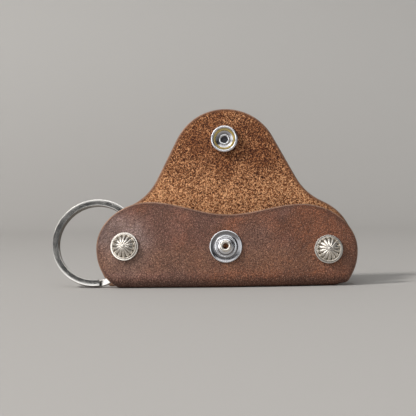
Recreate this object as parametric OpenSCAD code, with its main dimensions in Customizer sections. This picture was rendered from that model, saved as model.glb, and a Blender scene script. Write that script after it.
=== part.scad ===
// Leather key case, stood on its fold with the flap open.
// One hide is folded up from the bottom and held at both ends by a post between the two panels.
// A split ring hangs round the left post, and a ring snap closes the flap over the front panel.

/* [Hide] */
// Width of the folded hide over its two round ends
case_w = 106.2; // [98:0.1:116]
// Thickness of the hide
hide_t = 2; // [1.6:0.1:2.4]
// Free space between the two panels
pocket_gap = 9.6; // [8.5:0.1:10.5]
// Angle by which the standing case leans back
lean = 8; // [5:0.5:10]
// Radius to which the panels bow, convex towards the front
bow_r = 380; // [320:10:600]
// Height at which the round ends are widest
wide_z = 14.5; // [13:0.1:15.5]
// Bend radius of the fold at its front, on the middle of the hide
fold_front_r = 3.2; // [2.6:0.1:3.8]
// Bend radius of the fold at its back, on the middle of the hide
fold_back_r = 2.2; // [1.8:0.1:2.8]

/* [Front panel] */
// Height of the two crests of the wavy edge
crest_z = 33.3; // [31:0.1:36]
// Height of the dip between the crests
dip_z = 28.7; // [27:0.1:30.5]
// Distance of each crest from its end of the hide
crest_inset = 22.2; // [21:0.1:25]
// Length of the rounding at each end of the fold
foot_inset = 11; // [10:0.1:13]
// Angle by which the front panel is folded out of square, down to the right
front_skew = 1.6; // [0:0.1:2]

/* [Flap] */
// Height of the flap's tip along the hide
tip_z = 74; // [70:0.1:77]
// Radius of the flap's round tip
tip_r = 22.4; // [21:0.1:23.5]
// Angle of the flap's straight sides from upright
side_angle = 27.6; // [26:0.1:30]
// Radius of the hollow flare where the flap leaves the back panel
flare_r = 23.5; // [21:0.5:27]
// Radius of the back panel's shoulders
shoulder_r = 21.5; // [20:0.1:23]
// Angle by which the back panel and flap are folded out of square, down to the left
back_skew = 0.9; // [0:0.1:1.5]
// Distance by which the flap's tip stands to the right of the middle
tip_shift = 0.9; // [0:0.1:1.5]
// Slit between the two solids of the hide at the flap's fold line
fold_slit = 0.3; // [0.2:0.1:0.5]

/* [Posts and conchos] */
// Distance of each post from its end of the hide
post_inset = 12.5; // [11.5:0.1:13.5]
// Height of the posts along the hide
post_z = 14.9; // [14:0.1:17]
// Diameter of a post
post_d = 3.4; // [3.2:0.1:4.2]
// Diameter of the post's flat flange
flange_d = 11.5; // [11:0.1:12.5]
// Thickness of that flange
flange_t = 0.8; // [0.6:0.1:1]
// Diameter of the concho's base
concho_d = 10.2; // [9.8:0.1:10.6]
// Thickness of the concho's beaded rim
rim_t = 0.9; // [0.8:0.1:1.1]
// Diameter of the sunburst dome
sunburst_d = 8.8; // [8.2:0.1:9]
// Height of the dome over the rim's seat
dome_h = 2.1; // [1.8:0.1:2.4]
// Number of rays cut in the sunburst
ray_count = 14; // [10:1:18]
// Diameter of the concho's middle boss
boss_d = 1.7; // [1.4:0.1:2]
// Diameter of the back screw's shank
screw_d = 2.4; // [2:0.1:2.6]
// Length of the back screw's shank
screw_l = 6; // [5:0.5:7]
// Diameter of the back screw's head
head_d = 9; // [8:0.5:10]
// Thickness of that head
head_t = 1.2; // [1:0.1:1.5]
// Width of its slot
slot_w = 1; // [0.8:0.1:1.2]
// Depth of its slot
slot_deep = 0.6; // [0.4:0.1:0.7]

/* [Snap] */
// Height of the stud's middle along the front panel
stud_z = 15.6; // [15:0.1:17]
// Distance of the socket's middle from the flap's tip
socket_inset = 13.1; // [11.5:0.1:14]
// Diameter of the stud's flange
stud_d = 13.2; // [12.6:0.1:13.8]
// Thickness of that flange
stud_t = 0.5; // [0.4:0.1:0.6]
// Diameter of the raised collar round the nub
collar_d = 9.2; // [8.8:0.1:9.4]
// Height of the collar
collar_h = 1; // [0.8:0.1:1.1]
// Diameter of the nub at its bulge
nub_d = 6.4; // [6.2:0.1:6.4]
// Height of the nub
nub_h = 2.5; // [2.3:0.1:2.6]
// Outer diameter of the eyelet rolled over the nub
stud_roll_d = 4.8; // [4.6:0.1:5]
// Bore of that eyelet
stud_bore_d = 2.2; // [2:0.1:2.4]
// Diameter of the eyelet's flange inside the pocket
eyelet_d = 8.4; // [8:0.1:9]
// Diameter of the socket
socket_d = 10.8; // [10.6:0.1:11.4]
// Height of the socket
socket_h = 2.9; // [2.7:0.1:3]
// Inner diameter of the spring ring
spring_d = 6.7; // [6.6:0.1:6.8]
// Diameter of the socket's mouth
mouth_d = 8.3; // [8.2:0.1:8.4]
// Outer diameter of the eyelet rolled into the socket
socket_roll_d = 4.5; // [4.3:0.1:4.7]
// Bore of that eyelet
socket_bore_d = 2.9; // [2.7:0.1:3]
// Diameter of the cap on the outside of the flap
cap_d = 12.6; // [12:0.1:13.5]
// Height of the cap's dome
cap_h = 1.9; // [1.6:0.1:2.2]
// Distance between the two leathers when the snap is closed
snap_stack = 4.3; // [4.2:0.1:4.6]

/* [Split ring] */
// Outer diameter of the ring
ring_d = 36.8; // [34:0.2:38]
// Width of the flat wire, seen from the front
wire_w = 2.7; // [2.5:0.1:3]
// Thickness of the wire
wire_t = 1.2; // [1:0.1:1.3]
// Gap between the two turns
coil_gap = 0.45; // [0.42:0.01:0.6]
// Bevel on the wire's edges
wire_bevel = 0.3; // [0.2:0.05:0.4]
// Angle of the wire's ends, counted from the right of the ring
ring_end_angle = -82; // [-100:1:-70]
// Angle over which the wire crosses from one turn to the other
cross_angle = 22; // [18:1:30]
// Angle by which the resting ring leans back further than the panels
ring_tilt = 9; // [2:0.5:9]

/* [Clearances] */
// Gap under a metal flange that sits on the hide
seat_gap = 0.06; // [0.05:0.01:0.1]
// Gap round a barrel in its hole, and between nested metal pieces
fit_gap = 0.05; // [0.03:0.01:0.08]
// Gap between the ring and the post that it hangs on
ring_gap = 0.2; // [0.2:0.1:0.5]
// Gap between the resting ring and the surface that the case stands on
floor_gap = 0.05; // [0.02:0.01:0.1]

/* [Hidden] */
$fn = 72;

// Colours
hide_colour = [0.36, 0.25, 0.19];
steel_colour = [0.78, 0.78, 0.76];
brass_colour = [0.80, 0.66, 0.38];

// Overrun of every cut, and counts of segments
over = 1;
arc_step = 3;
lobe_steps = 14;
wave_steps = 20;
bow_fn = 420;
// Turn of the holes about their own axes, which keeps their seams off the middle lines
hole_turn = 40;

// The hide's section, in the plane that cuts the case from front to back
// The first axis of a section runs backwards and the second runs up
panel_pitch = pocket_gap + hide_t;
flat_l = (panel_pitch - fold_front_r - fold_back_r + (fold_back_r - fold_front_r) * sin(lean)) / cos(lean);
front_bend = [-flat_l / 2, hide_t / 2 + fold_front_r];
back_bend = [flat_l / 2, hide_t / 2 + fold_back_r];
along = [sin(lean), cos(lean)];
across = [cos(lean), -sin(lean)];
front_mid = front_bend * across - fold_front_r;
back_mid = back_bend * across + fold_back_r;
front_face = front_mid - hide_t / 2;
back_face = back_mid + hide_t / 2;
pocket_mid = (front_mid + back_mid) / 2;
parting = back_bend * across;
wall_top = tip_z + over;
bow_half_angle = asin((case_w / 2 + 2 * over) / bow_r);

// Outlines of the panels, drawn on the hide: X to the right and Y up along the hide
half_w = case_w / 2;
crest_x = half_w - crest_inset;
foot_x = half_w - foot_inset;
lobe_share = 1;
end_share = 2 / 1.95;
foot_drop = 1.1;
side_n = [cos(side_angle), sin(side_angle)];
shoulder_mid = [half_w - shoulder_r, wide_z];

// Places along the posts, the snap and the flap's fold line
post_x = half_w - post_inset;
left_post_at = turned([-post_x, post_z], -front_skew);
right_post_at = turned([post_x, post_z], -front_skew);
stud_at = turned([0, stud_z], -front_skew);
socket_at = turned([tip_shift, tip_z - socket_inset], back_skew);
hinge_at = (stud_at + socket_at) / 2;
hinge_tilt = atan2(stud_at[0] - socket_at[0], socket_at[1] - stud_at[1]);
hinge_depth = (front_face - snap_stack + back_mid - hide_t / 2) / 2;
grip_l = back_face - front_face;

// Split ring: its middle, measured from the left post in the plane of the ring
ring_r = ring_d / 2;
ring_inner_r = ring_r - wire_w;
ring_t = 2 * wire_t + coil_gap;
ring_lean = lean + ring_tilt;
ring_reach = ring_inner_r - post_d / 2 - ring_gap;
ring_low = ring_r * cos(ring_lean) + ring_t / 2 * sin(ring_lean) + floor_gap;
ring_post_z = pocket_mid * across[1] + left_post_at[1] * along[1];
ring_rise = (ring_low - ring_post_z) / cos(ring_lean);
ring_out = sqrt(pow(ring_reach, 2) - pow(ring_rise, 2));
wire_step = 6;

// Slot that ends the fold, which lets the ring pass where it leans to the front
notch_room = 2.35;
notch_start = 1.8;
notch_forward = 1.15;
notch_r = ring_t / 2 + notch_room;
notch_x = foot_x + notch_start + notch_r;

// Walls of the pressed pieces: both rolled eyelets, the socket, and the spring ring's inner face
eyelet_wall = 0.4;
socket_wall = 0.5;
spring_face = 0.4;

// Shares of the concho: its bead, the dome's edge over the rim, a ray's width and its dip
bead_share = 0.2;
dome_edge_share = 0.7;
ray_share = 0.42;
ray_dip_share = 0.62;
boss_sink_share = 0.25;

// Shares of the snap: the nub's neck under its bulge, and the socket's lip
neck_share = 0.96;
lip_share = 1.4;

function turned(p, a) = [p[0] * cos(a) - p[1] * sin(a), p[0] * sin(a) + p[1] * cos(a)];

function arc(mid, r, from, to) =
    let (n = max(1, ceil(abs(to - from) / arc_step)))
    [for (i = [0 : n]) let (a = from + (to - from) * i / n) mid + r * [cos(a), sin(a)]];

function mirrored(points) = [for (i = [len(points) - 1 : -1 : 0]) [-points[i][0], points[i][1]]];

// Quarter of a squarish ellipse, from one angle to the next
function lobe(mid, size, share, from, to) =
    [for (i = [0 : lobe_steps]) let (a = from + (to - from) * i / lobe_steps)
        mid + [size[0] * sign(cos(a)) * pow(abs(cos(a)), share),
               size[1] * sign(sin(a)) * pow(abs(sin(a)), share)]];

// Lower end of either panel, from the fold up to the widest point
function foot_curve() =
    lobe([foot_x, wide_z], [foot_inset, wide_z + foot_drop], lobe_share, -90, 0);

function front_half() = concat(
    foot_curve(),
    lobe([crest_x, wide_z], [crest_inset, crest_z - wide_z], end_share, 0, 90),
    [for (i = [wave_steps : -1 : 0]) let (x = crest_x * i / wave_steps)
        [x, (crest_z + dip_z) / 2 - (crest_z - dip_z) / 2 * cos(180 * x / crest_x)]]);

// Half of the back panel and flap, whose tip stands off the middle line by a shift
function back_half(shift) =
    let (tip_mid = [shift, tip_z - tip_r],
         flare_off = side_n * (tip_mid - shoulder_mid) + tip_r + flare_r,
         flare_slide = sqrt(pow(shoulder_r + flare_r, 2) - pow(flare_off, 2)),
         flare_mid = shoulder_mid + side_n * flare_off + [-side_n[1], side_n[0]] * flare_slide,
         start = atan2(flare_mid[1] - shoulder_mid[1], flare_mid[0] - shoulder_mid[0]))
    concat(
        foot_curve(),
        arc(shoulder_mid, shoulder_r, 0, start),
        arc(flare_mid, flare_r, start - 180, side_angle - 180),
        arc(tip_mid, tip_r, side_angle, 90));

module front_outline() rotate(-front_skew) polygon(concat(front_half(), mirrored(front_half())));

module back_outline() rotate(back_skew) polygon(concat(back_half(tip_shift), mirrored(back_half(-tip_shift))));

// Everything on one side of the flap's fold line: side is 1 above it and -1 below
module beside_fold_line(side) {
    translate(hinge_at) rotate(hinge_tilt)
        translate([-case_w, side > 0 ? fold_slit / 2 : -tip_z - fold_slit / 2]) square([2 * case_w, tip_z]);
}

// Turns a drawing on the hide into a prism across the panels, from one depth to another
module across_hide(from, to) {
    rotate([90 - lean, 0, 0]) translate([0, 0, -to]) linear_extrude(to - from) children();
}

// Section of the folded hide: back panel, fold with its flat foot, front panel
function hide_section() = let (half = hide_t / 2) concat(
    [across * (back_mid + half) + along * wall_top],
    arc(back_bend, fold_back_r + half, -lean, -90),
    arc(front_bend, fold_front_r + half, -90, -180 - lean),
    [across * (front_mid - half) + along * (crest_z + hide_t + over),
     across * (front_mid + half) + along * (crest_z + hide_t + over)],
    arc(front_bend, fold_front_r - half, -180 - lean, -90),
    arc(back_bend, fold_back_r - half, -90, -lean),
    [across * (back_mid - half) + along * wall_top]);

// The folded sheet, before its outline is cut
module bowed_sheet() {
    translate([0, bow_r, 0]) rotate([0, 0, -90 - bow_half_angle])
        rotate_extrude(angle = 2 * bow_half_angle, $fn = bow_fn)
            polygon([for (p = hide_section()) [bow_r - p[0], p[1]]]);
}

// Stands children at a place on the hide: Z points out of the front, Y runs up along the hide
module on_hide(place, depth) {
    translate([0, bow_r, 0]) rotate([0, 0, asin(place[0] / bow_r)])
        translate([0, depth * across[0] + place[1] * along[0] - bow_r,
                   depth * across[1] + place[1] * along[1]])
            rotate([90 - lean, 0, 0]) children();
}

// Hole across one panel of the hide at a place, from one depth to another
module hide_hole(place, d, from, to) {
    on_hide(place, to) rotate(hole_turn) cylinder(d = d, h = to - from);
}

// Slot at one end of the fold: side is 1 at the right and -1 at the left
module fold_notch(side) {
    translate([0, bow_r - sqrt(pow(bow_r, 2) - pow(notch_x, 2)) - notch_forward, -over])
        linear_extrude(wide_z / 2 + over) scale([side, 1]) {
            translate([notch_x, 0]) circle(r = notch_r);
            translate([notch_x, -notch_r]) square([half_w - foot_x, 2 * notch_r]);
        }
}

module case_hide() {
    color(hide_colour) intersection() {
        difference() {
            bowed_sheet();
            for (place = [left_post_at, right_post_at]) {
                hide_hole(place, post_d + 2 * fit_gap, front_face - over, pocket_mid);
                hide_hole(place, post_d + 2 * fit_gap, pocket_mid, back_face + over);
            }
            hide_hole(stud_at, stud_bore_d + 4 * (eyelet_wall + fit_gap), front_face - over, pocket_mid);
            for (side = [-1, 1]) fold_notch(side);
        }
        union() {
            across_hide(front_face - case_w, parting) front_outline();
            across_hide(parting, back_face + case_w) intersection() {
                back_outline();
                beside_fold_line(-1);
            }
        }
    }
}

module flap_hide() {
    color(hide_colour) difference() {
        intersection() {
            bowed_sheet();
            across_hide(pocket_mid, back_face + case_w) intersection() {
                back_outline();
                beside_fold_line(1);
            }
        }
        hide_hole(socket_at, socket_bore_d + 2 * (eyelet_wall + fit_gap), pocket_mid, back_face + over);
    }
}

// Post: a flat flange on the front panel with a barrel that the back screw enters
module post(place) {
    barrel_l = grip_l + seat_gap - fit_gap;
    flange_round = flange_t / 3;
    color(steel_colour) on_hide(place, front_face - seat_gap) difference() {
        union() {
            translate([0, 0, -barrel_l]) cylinder(d = post_d, h = barrel_l + flange_t / 2);
            rotate_extrude() polygon(concat(
                [[0, 0], [flange_d / 2, 0]],
                arc([flange_d / 2 - flange_round, flange_t - flange_round], flange_round, 0, 90),
                [[0, flange_t]]));
        }
        translate([0, 0, -barrel_l - over])
            cylinder(d = screw_d + 2 * fit_gap, h = screw_l + 2 * fit_gap + over);
    }
}

// Concho: beaded rim, groove, and a dome whose rays run out from the middle boss
module concho(place) {
    bead_r = (concho_d - sunburst_d) * bead_share;
    bead_mid = [concho_d / 2 - bead_r, rim_t - bead_r];
    dome_foot_r = sunburst_d / 2;
    groove_z = rim_t / 3;
    dome_edge_z = rim_t * dome_edge_share;
    dome_rise = dome_h - dome_edge_z;
    dome_r = (pow(dome_foot_r, 2) + pow(dome_rise, 2)) / (2 * dome_rise);
    dome_angle = asin(dome_foot_r / dome_r);
    ray_w = PI * sunburst_d / ray_count * ray_share;
    boss_sink = boss_d * boss_sink_share;
    color(steel_colour) on_hide(place, front_face - seat_gap - flange_t - fit_gap) difference() {
        union() {
            rotate_extrude() polygon(concat(
                [[0, 0], [concho_d / 2, 0]],
                arc(bead_mid, bead_r, 0, 180),
                [[concho_d / 2 - 2 * bead_r, groove_z], [dome_foot_r, groove_z]],
                arc([0, dome_h - dome_r], dome_r, 90 - dome_angle, 90)));
            translate([0, 0, dome_h - boss_sink]) rotate_extrude() polygon(concat(
                [[0, 0], [boss_d / 2, 0]], arc([0, boss_sink / 2], boss_d / 2, 0, 90)));
        }
        for (i = [0 : ray_count - 1]) rotate(360 * i / ray_count)
            translate([boss_d / 2 + fit_gap, 0, dome_h]) rotate([0, dome_angle * ray_dip_share, 0])
                rotate([45, 0, 0]) translate([0, -ray_w / sqrt(2), -ray_w / sqrt(2)] / 2)
                    cube([dome_foot_r, ray_w / sqrt(2), ray_w / sqrt(2)]);
    }
}

// Back screw: a slotted flat head on the back panel and a shank in the post
module back_screw(place) {
    head_round = head_t / 3;
    color(steel_colour) on_hide(place, back_face + seat_gap) mirror([0, 0, 1]) difference() {
        union() {
            rotate_extrude() polygon(concat(
                [[0, 0], [head_d / 2, 0]],
                arc([head_d / 2 - head_round, head_t - head_round], head_round, 0, 90),
                [[0, head_t]]));
            translate([0, 0, -screw_l]) cylinder(d = screw_d, h = screw_l + head_t / 2);
        }
        translate([-head_d, -slot_w / 2, head_t - slot_deep]) cube([2 * head_d, slot_w, slot_deep + over]);
    }
}

// Snap stud: dished flange, collar and bulged nub, with a bore for its eyelet
module snap_stud() {
    neck_r = nub_d / 2 * neck_share;
    bore_r = stud_bore_d / 2 + eyelet_wall + fit_gap;
    lip = stud_t / 2;
    color(steel_colour) on_hide(stud_at, front_face - seat_gap) rotate_extrude() polygon(concat(
        [[bore_r, 0], [stud_d / 2 - lip, 0]],
        arc([stud_d / 2 - lip, lip], lip, -90, 90),
        [[collar_d / 2 + stud_t, stud_t], [collar_d / 2, collar_h], [neck_r + lip, collar_h],
         [neck_r, collar_h + lip], [neck_r, nub_h - 2 * stud_t]],
        arc([nub_d / 2 - stud_t, nub_h - stud_t], stud_t, -30, 90),
        [[bore_r, nub_h]]));
}

// Eyelet that holds the stud: flange inside the pocket, barrel, and a roll over the nub
module stud_eyelet() {
    bore_r = stud_bore_d / 2;
    roll_r = (stud_roll_d - stud_bore_d) / 4;
    inside = -hide_t - 2 * seat_gap;
    roll_z = nub_h + fit_gap;
    color(steel_colour) on_hide(stud_at, front_face - seat_gap) rotate_extrude() polygon(concat(
        [[bore_r, inside - eyelet_wall], [eyelet_d / 2, inside - eyelet_wall], [eyelet_d / 2, inside],
         [bore_r + eyelet_wall, inside], [bore_r + eyelet_wall, roll_z], [stud_roll_d / 2, roll_z]],
        arc([stud_roll_d / 2 - roll_r, roll_z], roll_r, 0, 180)));
}

// Socket: a rolled cup on the flap's inner face that holds the spring ring under its lip
module snap_socket() {
    outer_r = socket_d / 2;
    bore_r = socket_bore_d / 2 + eyelet_wall + fit_gap;
    round_r = (outer_r - mouth_d / 2) / 2;
    groove_r = outer_r - socket_wall;
    color(steel_colour) on_hide(socket_at, back_mid - hide_t / 2 - seat_gap) rotate_extrude() polygon(concat(
        [[bore_r, 0], [outer_r - socket_wall / 2, 0], [outer_r, socket_wall / 2]],
        arc([outer_r - round_r, socket_h - round_r], round_r, 0, 180),
        [[mouth_d / 2, socket_h - socket_wall * lip_share], [groove_r, socket_h - socket_wall * lip_share],
         [groove_r, socket_wall], [bore_r, socket_wall]]));
}

// Spring ring inside the socket, a round brass wire flattened top and bottom
module socket_spring() {
    outer_r = socket_d / 2 - socket_wall - fit_gap;
    top = socket_h - socket_wall * lip_share - fit_gap;
    bevel = socket_wall / 2;
    color(brass_colour) on_hide(socket_at, back_mid - hide_t / 2 - seat_gap) rotate_extrude() polygon([
        [spring_d / 2 + bevel, top - 2 * bevel - spring_face], [outer_r, top - 2 * bevel - spring_face],
        [outer_r, top], [spring_d / 2 + bevel, top], [spring_d / 2, top - bevel],
        [spring_d / 2, top - bevel - spring_face]]);
}

// Cap outside the flap, with the tube that is rolled over in the socket
module snap_cap() {
    bore_r = socket_bore_d / 2;
    roll_r = (socket_roll_d - socket_bore_d) / 4;
    roll_z = hide_t + 2 * seat_gap + socket_wall + fit_gap;
    dome_r = (pow(cap_d / 2, 2) + pow(cap_h, 2)) / (2 * cap_h);
    dome_angle = asin(cap_d / 2 / dome_r);
    blind_z = -cap_h / 2;
    color(steel_colour) on_hide(socket_at, back_face + seat_gap) rotate_extrude() polygon(concat(
        arc([0, dome_r - cap_h], dome_r, -90, -90 + dome_angle),
        [[bore_r + eyelet_wall, 0], [bore_r + eyelet_wall, roll_z], [socket_roll_d / 2, roll_z]],
        arc([socket_roll_d / 2 - roll_r, roll_z], roll_r, 0, 180),
        [[bore_r, blind_z], [0, blind_z]]));
}

// Split ring: one flat wire wound through two turns that lie one behind the other
// The wire crosses between the turns beside its own two ends
function wire_angle(i, n) = ring_end_angle - (720 - cross_angle) * i / n;
function wire_layer(a) =
    let (t = (ring_end_angle - a - (360 - cross_angle)) / cross_angle)
    t <= 0 ? 0 : t >= 1 ? 1 : t * t * (3 - 2 * t);
function wire_depth(a) = (ring_t - wire_t) * (0.5 - wire_layer(a));

wire_profile = [[-wire_w / 2 + wire_bevel, -wire_t / 2], [wire_w / 2 - wire_bevel, -wire_t / 2],
                [wire_w / 2, -wire_t / 2 + wire_bevel], [wire_w / 2, wire_t / 2 - wire_bevel],
                [wire_w / 2 - wire_bevel, wire_t / 2], [-wire_w / 2 + wire_bevel, wire_t / 2],
                [-wire_w / 2, wire_t / 2 - wire_bevel], [-wire_w / 2, -wire_t / 2 + wire_bevel]];

function wire_points() =
    let (n = round((720 - cross_angle) / wire_step), r = ring_r - wire_w / 2)
    [for (i = [0 : n]) let (a = wire_angle(i, n), z = wire_depth(a))
        for (p = wire_profile) [(r + p[0]) * cos(a), (r + p[0]) * sin(a), z + p[1]]];

module swept_wire(points, sides) {
    rings = len(points) / sides;
    last = (rings - 1) * sides;
    polyhedron(points, concat(
        [for (k = [1 : sides - 2]) [0, k, k + 1]],
        [for (k = [1 : sides - 2]) [last, last + k + 1, last + k]],
        [for (i = [0 : rings - 2]) for (k = [0 : sides - 1])
            let (a = i * sides + k, b = i * sides + (k + 1) % sides)
            each [[a, a + sides, b], [b, a + sides, b + sides]]]));
}

module split_ring() {
    color(steel_colour) on_hide(left_post_at, pocket_mid)
        rotate([-ring_tilt, 0, 0]) translate([-ring_out, ring_rise, 0]) swept_wire(wire_points(), len(wire_profile));
}

module left_concho() concho(left_post_at);
module right_concho() concho(right_post_at);
module left_post() post(left_post_at);
module right_post() post(right_post_at);
module left_back_screw() back_screw(left_post_at);
module right_back_screw() back_screw(right_post_at);

case_hide();
flap_hide();
left_concho();
right_concho();
left_post();
right_post();
left_back_screw();
right_back_screw();
snap_stud();
stud_eyelet();
snap_socket();
socket_spring();
snap_cap();
split_ring();

// Where the two joints lie, and the least gap between the turns of the split ring
function on_bow(place, depth) =
    let (turn = asin(place[0] / bow_r), back = depth * across[0] + place[1] * along[0] - bow_r)
    [-back * sin(turn), back * cos(turn) + bow_r, depth * across[1] + place[1] * along[1]];
function post_axis(place) =
    let (turn = asin(place[0] / bow_r)) [-sin(turn) * across[0], cos(turn) * across[0], across[1]];
function coil_clearance() =
    let (n = round((720 - cross_angle) / wire_step), turns = [for (i = [0 : n]) wire_angle(i, n)])
    min([for (a = turns) if (a - 360 >= turns[n]) abs(wire_depth(a) - wire_depth(a - 360)) - wire_t]);
hinge_section = across * hinge_depth + along * hinge_at[1];
echo(flap_fold_at = [hinge_at[0], hinge_section[0], hinge_section[1]],
     flap_fold_axis = [cos(hinge_tilt), sin(hinge_tilt) * along[0], sin(hinge_tilt) * along[1]]);
echo(ring_swing_at = on_bow(left_post_at, pocket_mid), ring_swing_axis = post_axis(left_post_at));
echo(right_post_at = on_bow(right_post_at, pocket_mid), right_post_axis = post_axis(right_post_at));
echo(stud_face = on_bow(stud_at, front_face), least_coil_gap = coil_clearance());
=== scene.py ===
import logging
import math
from dataclasses import astuple, dataclass, field
from enum import Enum
from functools import cached_property
from typing import Callable, Sequence

import bmesh
import bpy
import numpy as np
from mathutils import Matrix, Vector, noise
from mathutils.geometry import delaunay_2d_cdt


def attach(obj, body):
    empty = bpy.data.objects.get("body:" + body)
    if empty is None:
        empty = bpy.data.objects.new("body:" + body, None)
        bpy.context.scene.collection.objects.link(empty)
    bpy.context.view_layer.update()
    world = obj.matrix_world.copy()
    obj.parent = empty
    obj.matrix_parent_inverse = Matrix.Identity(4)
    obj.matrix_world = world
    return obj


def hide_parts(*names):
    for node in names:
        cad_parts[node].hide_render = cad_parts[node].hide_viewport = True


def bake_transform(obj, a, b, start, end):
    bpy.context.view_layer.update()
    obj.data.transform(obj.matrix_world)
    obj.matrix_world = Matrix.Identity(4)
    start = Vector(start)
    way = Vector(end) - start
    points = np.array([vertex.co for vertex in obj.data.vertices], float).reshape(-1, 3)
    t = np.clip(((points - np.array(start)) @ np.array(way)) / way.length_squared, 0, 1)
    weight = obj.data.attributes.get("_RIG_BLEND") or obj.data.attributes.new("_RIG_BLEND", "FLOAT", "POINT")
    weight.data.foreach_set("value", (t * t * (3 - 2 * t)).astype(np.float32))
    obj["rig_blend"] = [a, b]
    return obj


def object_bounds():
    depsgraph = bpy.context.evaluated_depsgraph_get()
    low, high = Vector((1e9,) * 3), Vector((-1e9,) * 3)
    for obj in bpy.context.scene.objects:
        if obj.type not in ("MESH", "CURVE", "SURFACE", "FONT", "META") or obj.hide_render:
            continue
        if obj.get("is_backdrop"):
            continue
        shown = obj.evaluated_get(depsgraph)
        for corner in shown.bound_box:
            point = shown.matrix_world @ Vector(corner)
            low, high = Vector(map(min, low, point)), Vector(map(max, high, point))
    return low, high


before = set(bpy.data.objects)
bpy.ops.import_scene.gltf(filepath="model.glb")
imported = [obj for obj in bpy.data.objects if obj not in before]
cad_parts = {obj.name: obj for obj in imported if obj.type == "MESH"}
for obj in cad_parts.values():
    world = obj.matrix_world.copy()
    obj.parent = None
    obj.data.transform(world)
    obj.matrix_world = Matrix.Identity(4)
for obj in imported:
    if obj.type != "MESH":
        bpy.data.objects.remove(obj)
CAD_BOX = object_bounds()

MM = 0.001
CURVE_STEPS = 40
MOST_CUT = 0.45
TINY = 1e-6
Triple = tuple[float, float, float]
Colour = Triple
Point = tuple[float, float]
Profile = list[Point]
Socket = bpy.types.NodeSocket
Vert = bmesh.types.BMVert
# A place's painted shade or painted dark reflection, from its radius and height.
PaintedShade = Callable[[float, float], float]
log = logging.getLogger("key case")


class Side(Enum):
    """Ends of the folded case, as seen from its front."""

    LEFT = -1
    RIGHT = 1


class Layer(Enum):
    """Depths of the hide, as material slots of its mesh."""

    GRAIN = 0
    FLESH = 1
    EDGE = 2


class Lit(Enum):
    """What a lamp adds to a surface: its colour, its gloss, or both."""

    ALL = "all"
    COLOUR = "colour"
    GLOSS = "gloss"


# ------------------------------------------------------------ shared functions


def held(value: float) -> float:
    """Holds a value between 0 and 1."""
    return min(1.0, max(0.0, value))


def around(count: int) -> list[tuple[int, int]]:
    """Each place of a closed line with the next one."""
    return [(i, (i + 1) % count) for i in range(count)]


def spun(radius: float, angle: float, height: float) -> Vector:
    """A point at a radius and an angle about Z, from millimetres to metres."""
    return Vector((radius * math.cos(angle), radius * math.sin(angle), height)) * MM


def strip(mesh: bmesh.types.BMesh, low: Sequence[Vert], high: Sequence[Vert]) -> list[bmesh.types.BMFace]:
    """Joins two closed lines of points by a band of faces.

    Args:
        mesh: the mesh that they are in.
        low: the first line, or the one point of a fan.
        high: the second line, or the one point of a fan.

    Returns:
        The faces.
    """
    made = []
    for i, j in around(max(len(low), len(high))):
        ring = [low[i % len(low)], low[j % len(low)], high[j % len(high)], high[i % len(high)]]
        corners = list(dict.fromkeys(ring))
        if len(corners) > 2:
            made.append(mesh.faces.new(corners))
    return made


def placed(name: str, data: bpy.types.ID) -> bpy.types.Object:
    """Puts an object in the scene.

    Args:
        name: its name.
        data: its mesh, lamp or camera.

    Returns:
        The object.
    """
    made = bpy.data.objects.new(name, data)
    bpy.context.scene.collection.objects.link(made)
    return made


def meshed(name: str, mesh: bmesh.types.BMesh) -> bpy.types.Object:
    """Turns a finished mesh into an object of the scene.

    Args:
        name: its name.
        mesh: the mesh, which is freed.

    Returns:
        The object.
    """
    data = bpy.data.meshes.new(name)
    mesh.to_mesh(data)
    mesh.free()
    return placed(name, data)


# ---------------------------------------------------------------- node graphs


@dataclass(frozen=True)
class Patch:
    """Soft noise on a surface.

    Attributes:
        size: size of its patches, in millimetres.
        octaves: layers of finer noise.
        fineness: strength of the finer layers.
        warp: distortion.
        stretch: scale of the place along each axis, where it has one.
        turn: turn of those axes about Z, in degrees.
    """

    size: float
    octaves: float = 3
    fineness: float = 0.55
    warp: float = 0.0
    stretch: tuple[float, ...] = ()
    turn: float = 0.0


@dataclass(frozen=True)
class Ramp:
    """A smooth step from one range of values to another, held at its ends."""

    low: float
    high: float
    to_low: float = 0.0
    to_high: float = 1.0


@dataclass(frozen=True)
class Relief:
    """Raised shading: its depth in millimetres, and its strength."""

    depth: float
    strength: float


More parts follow.
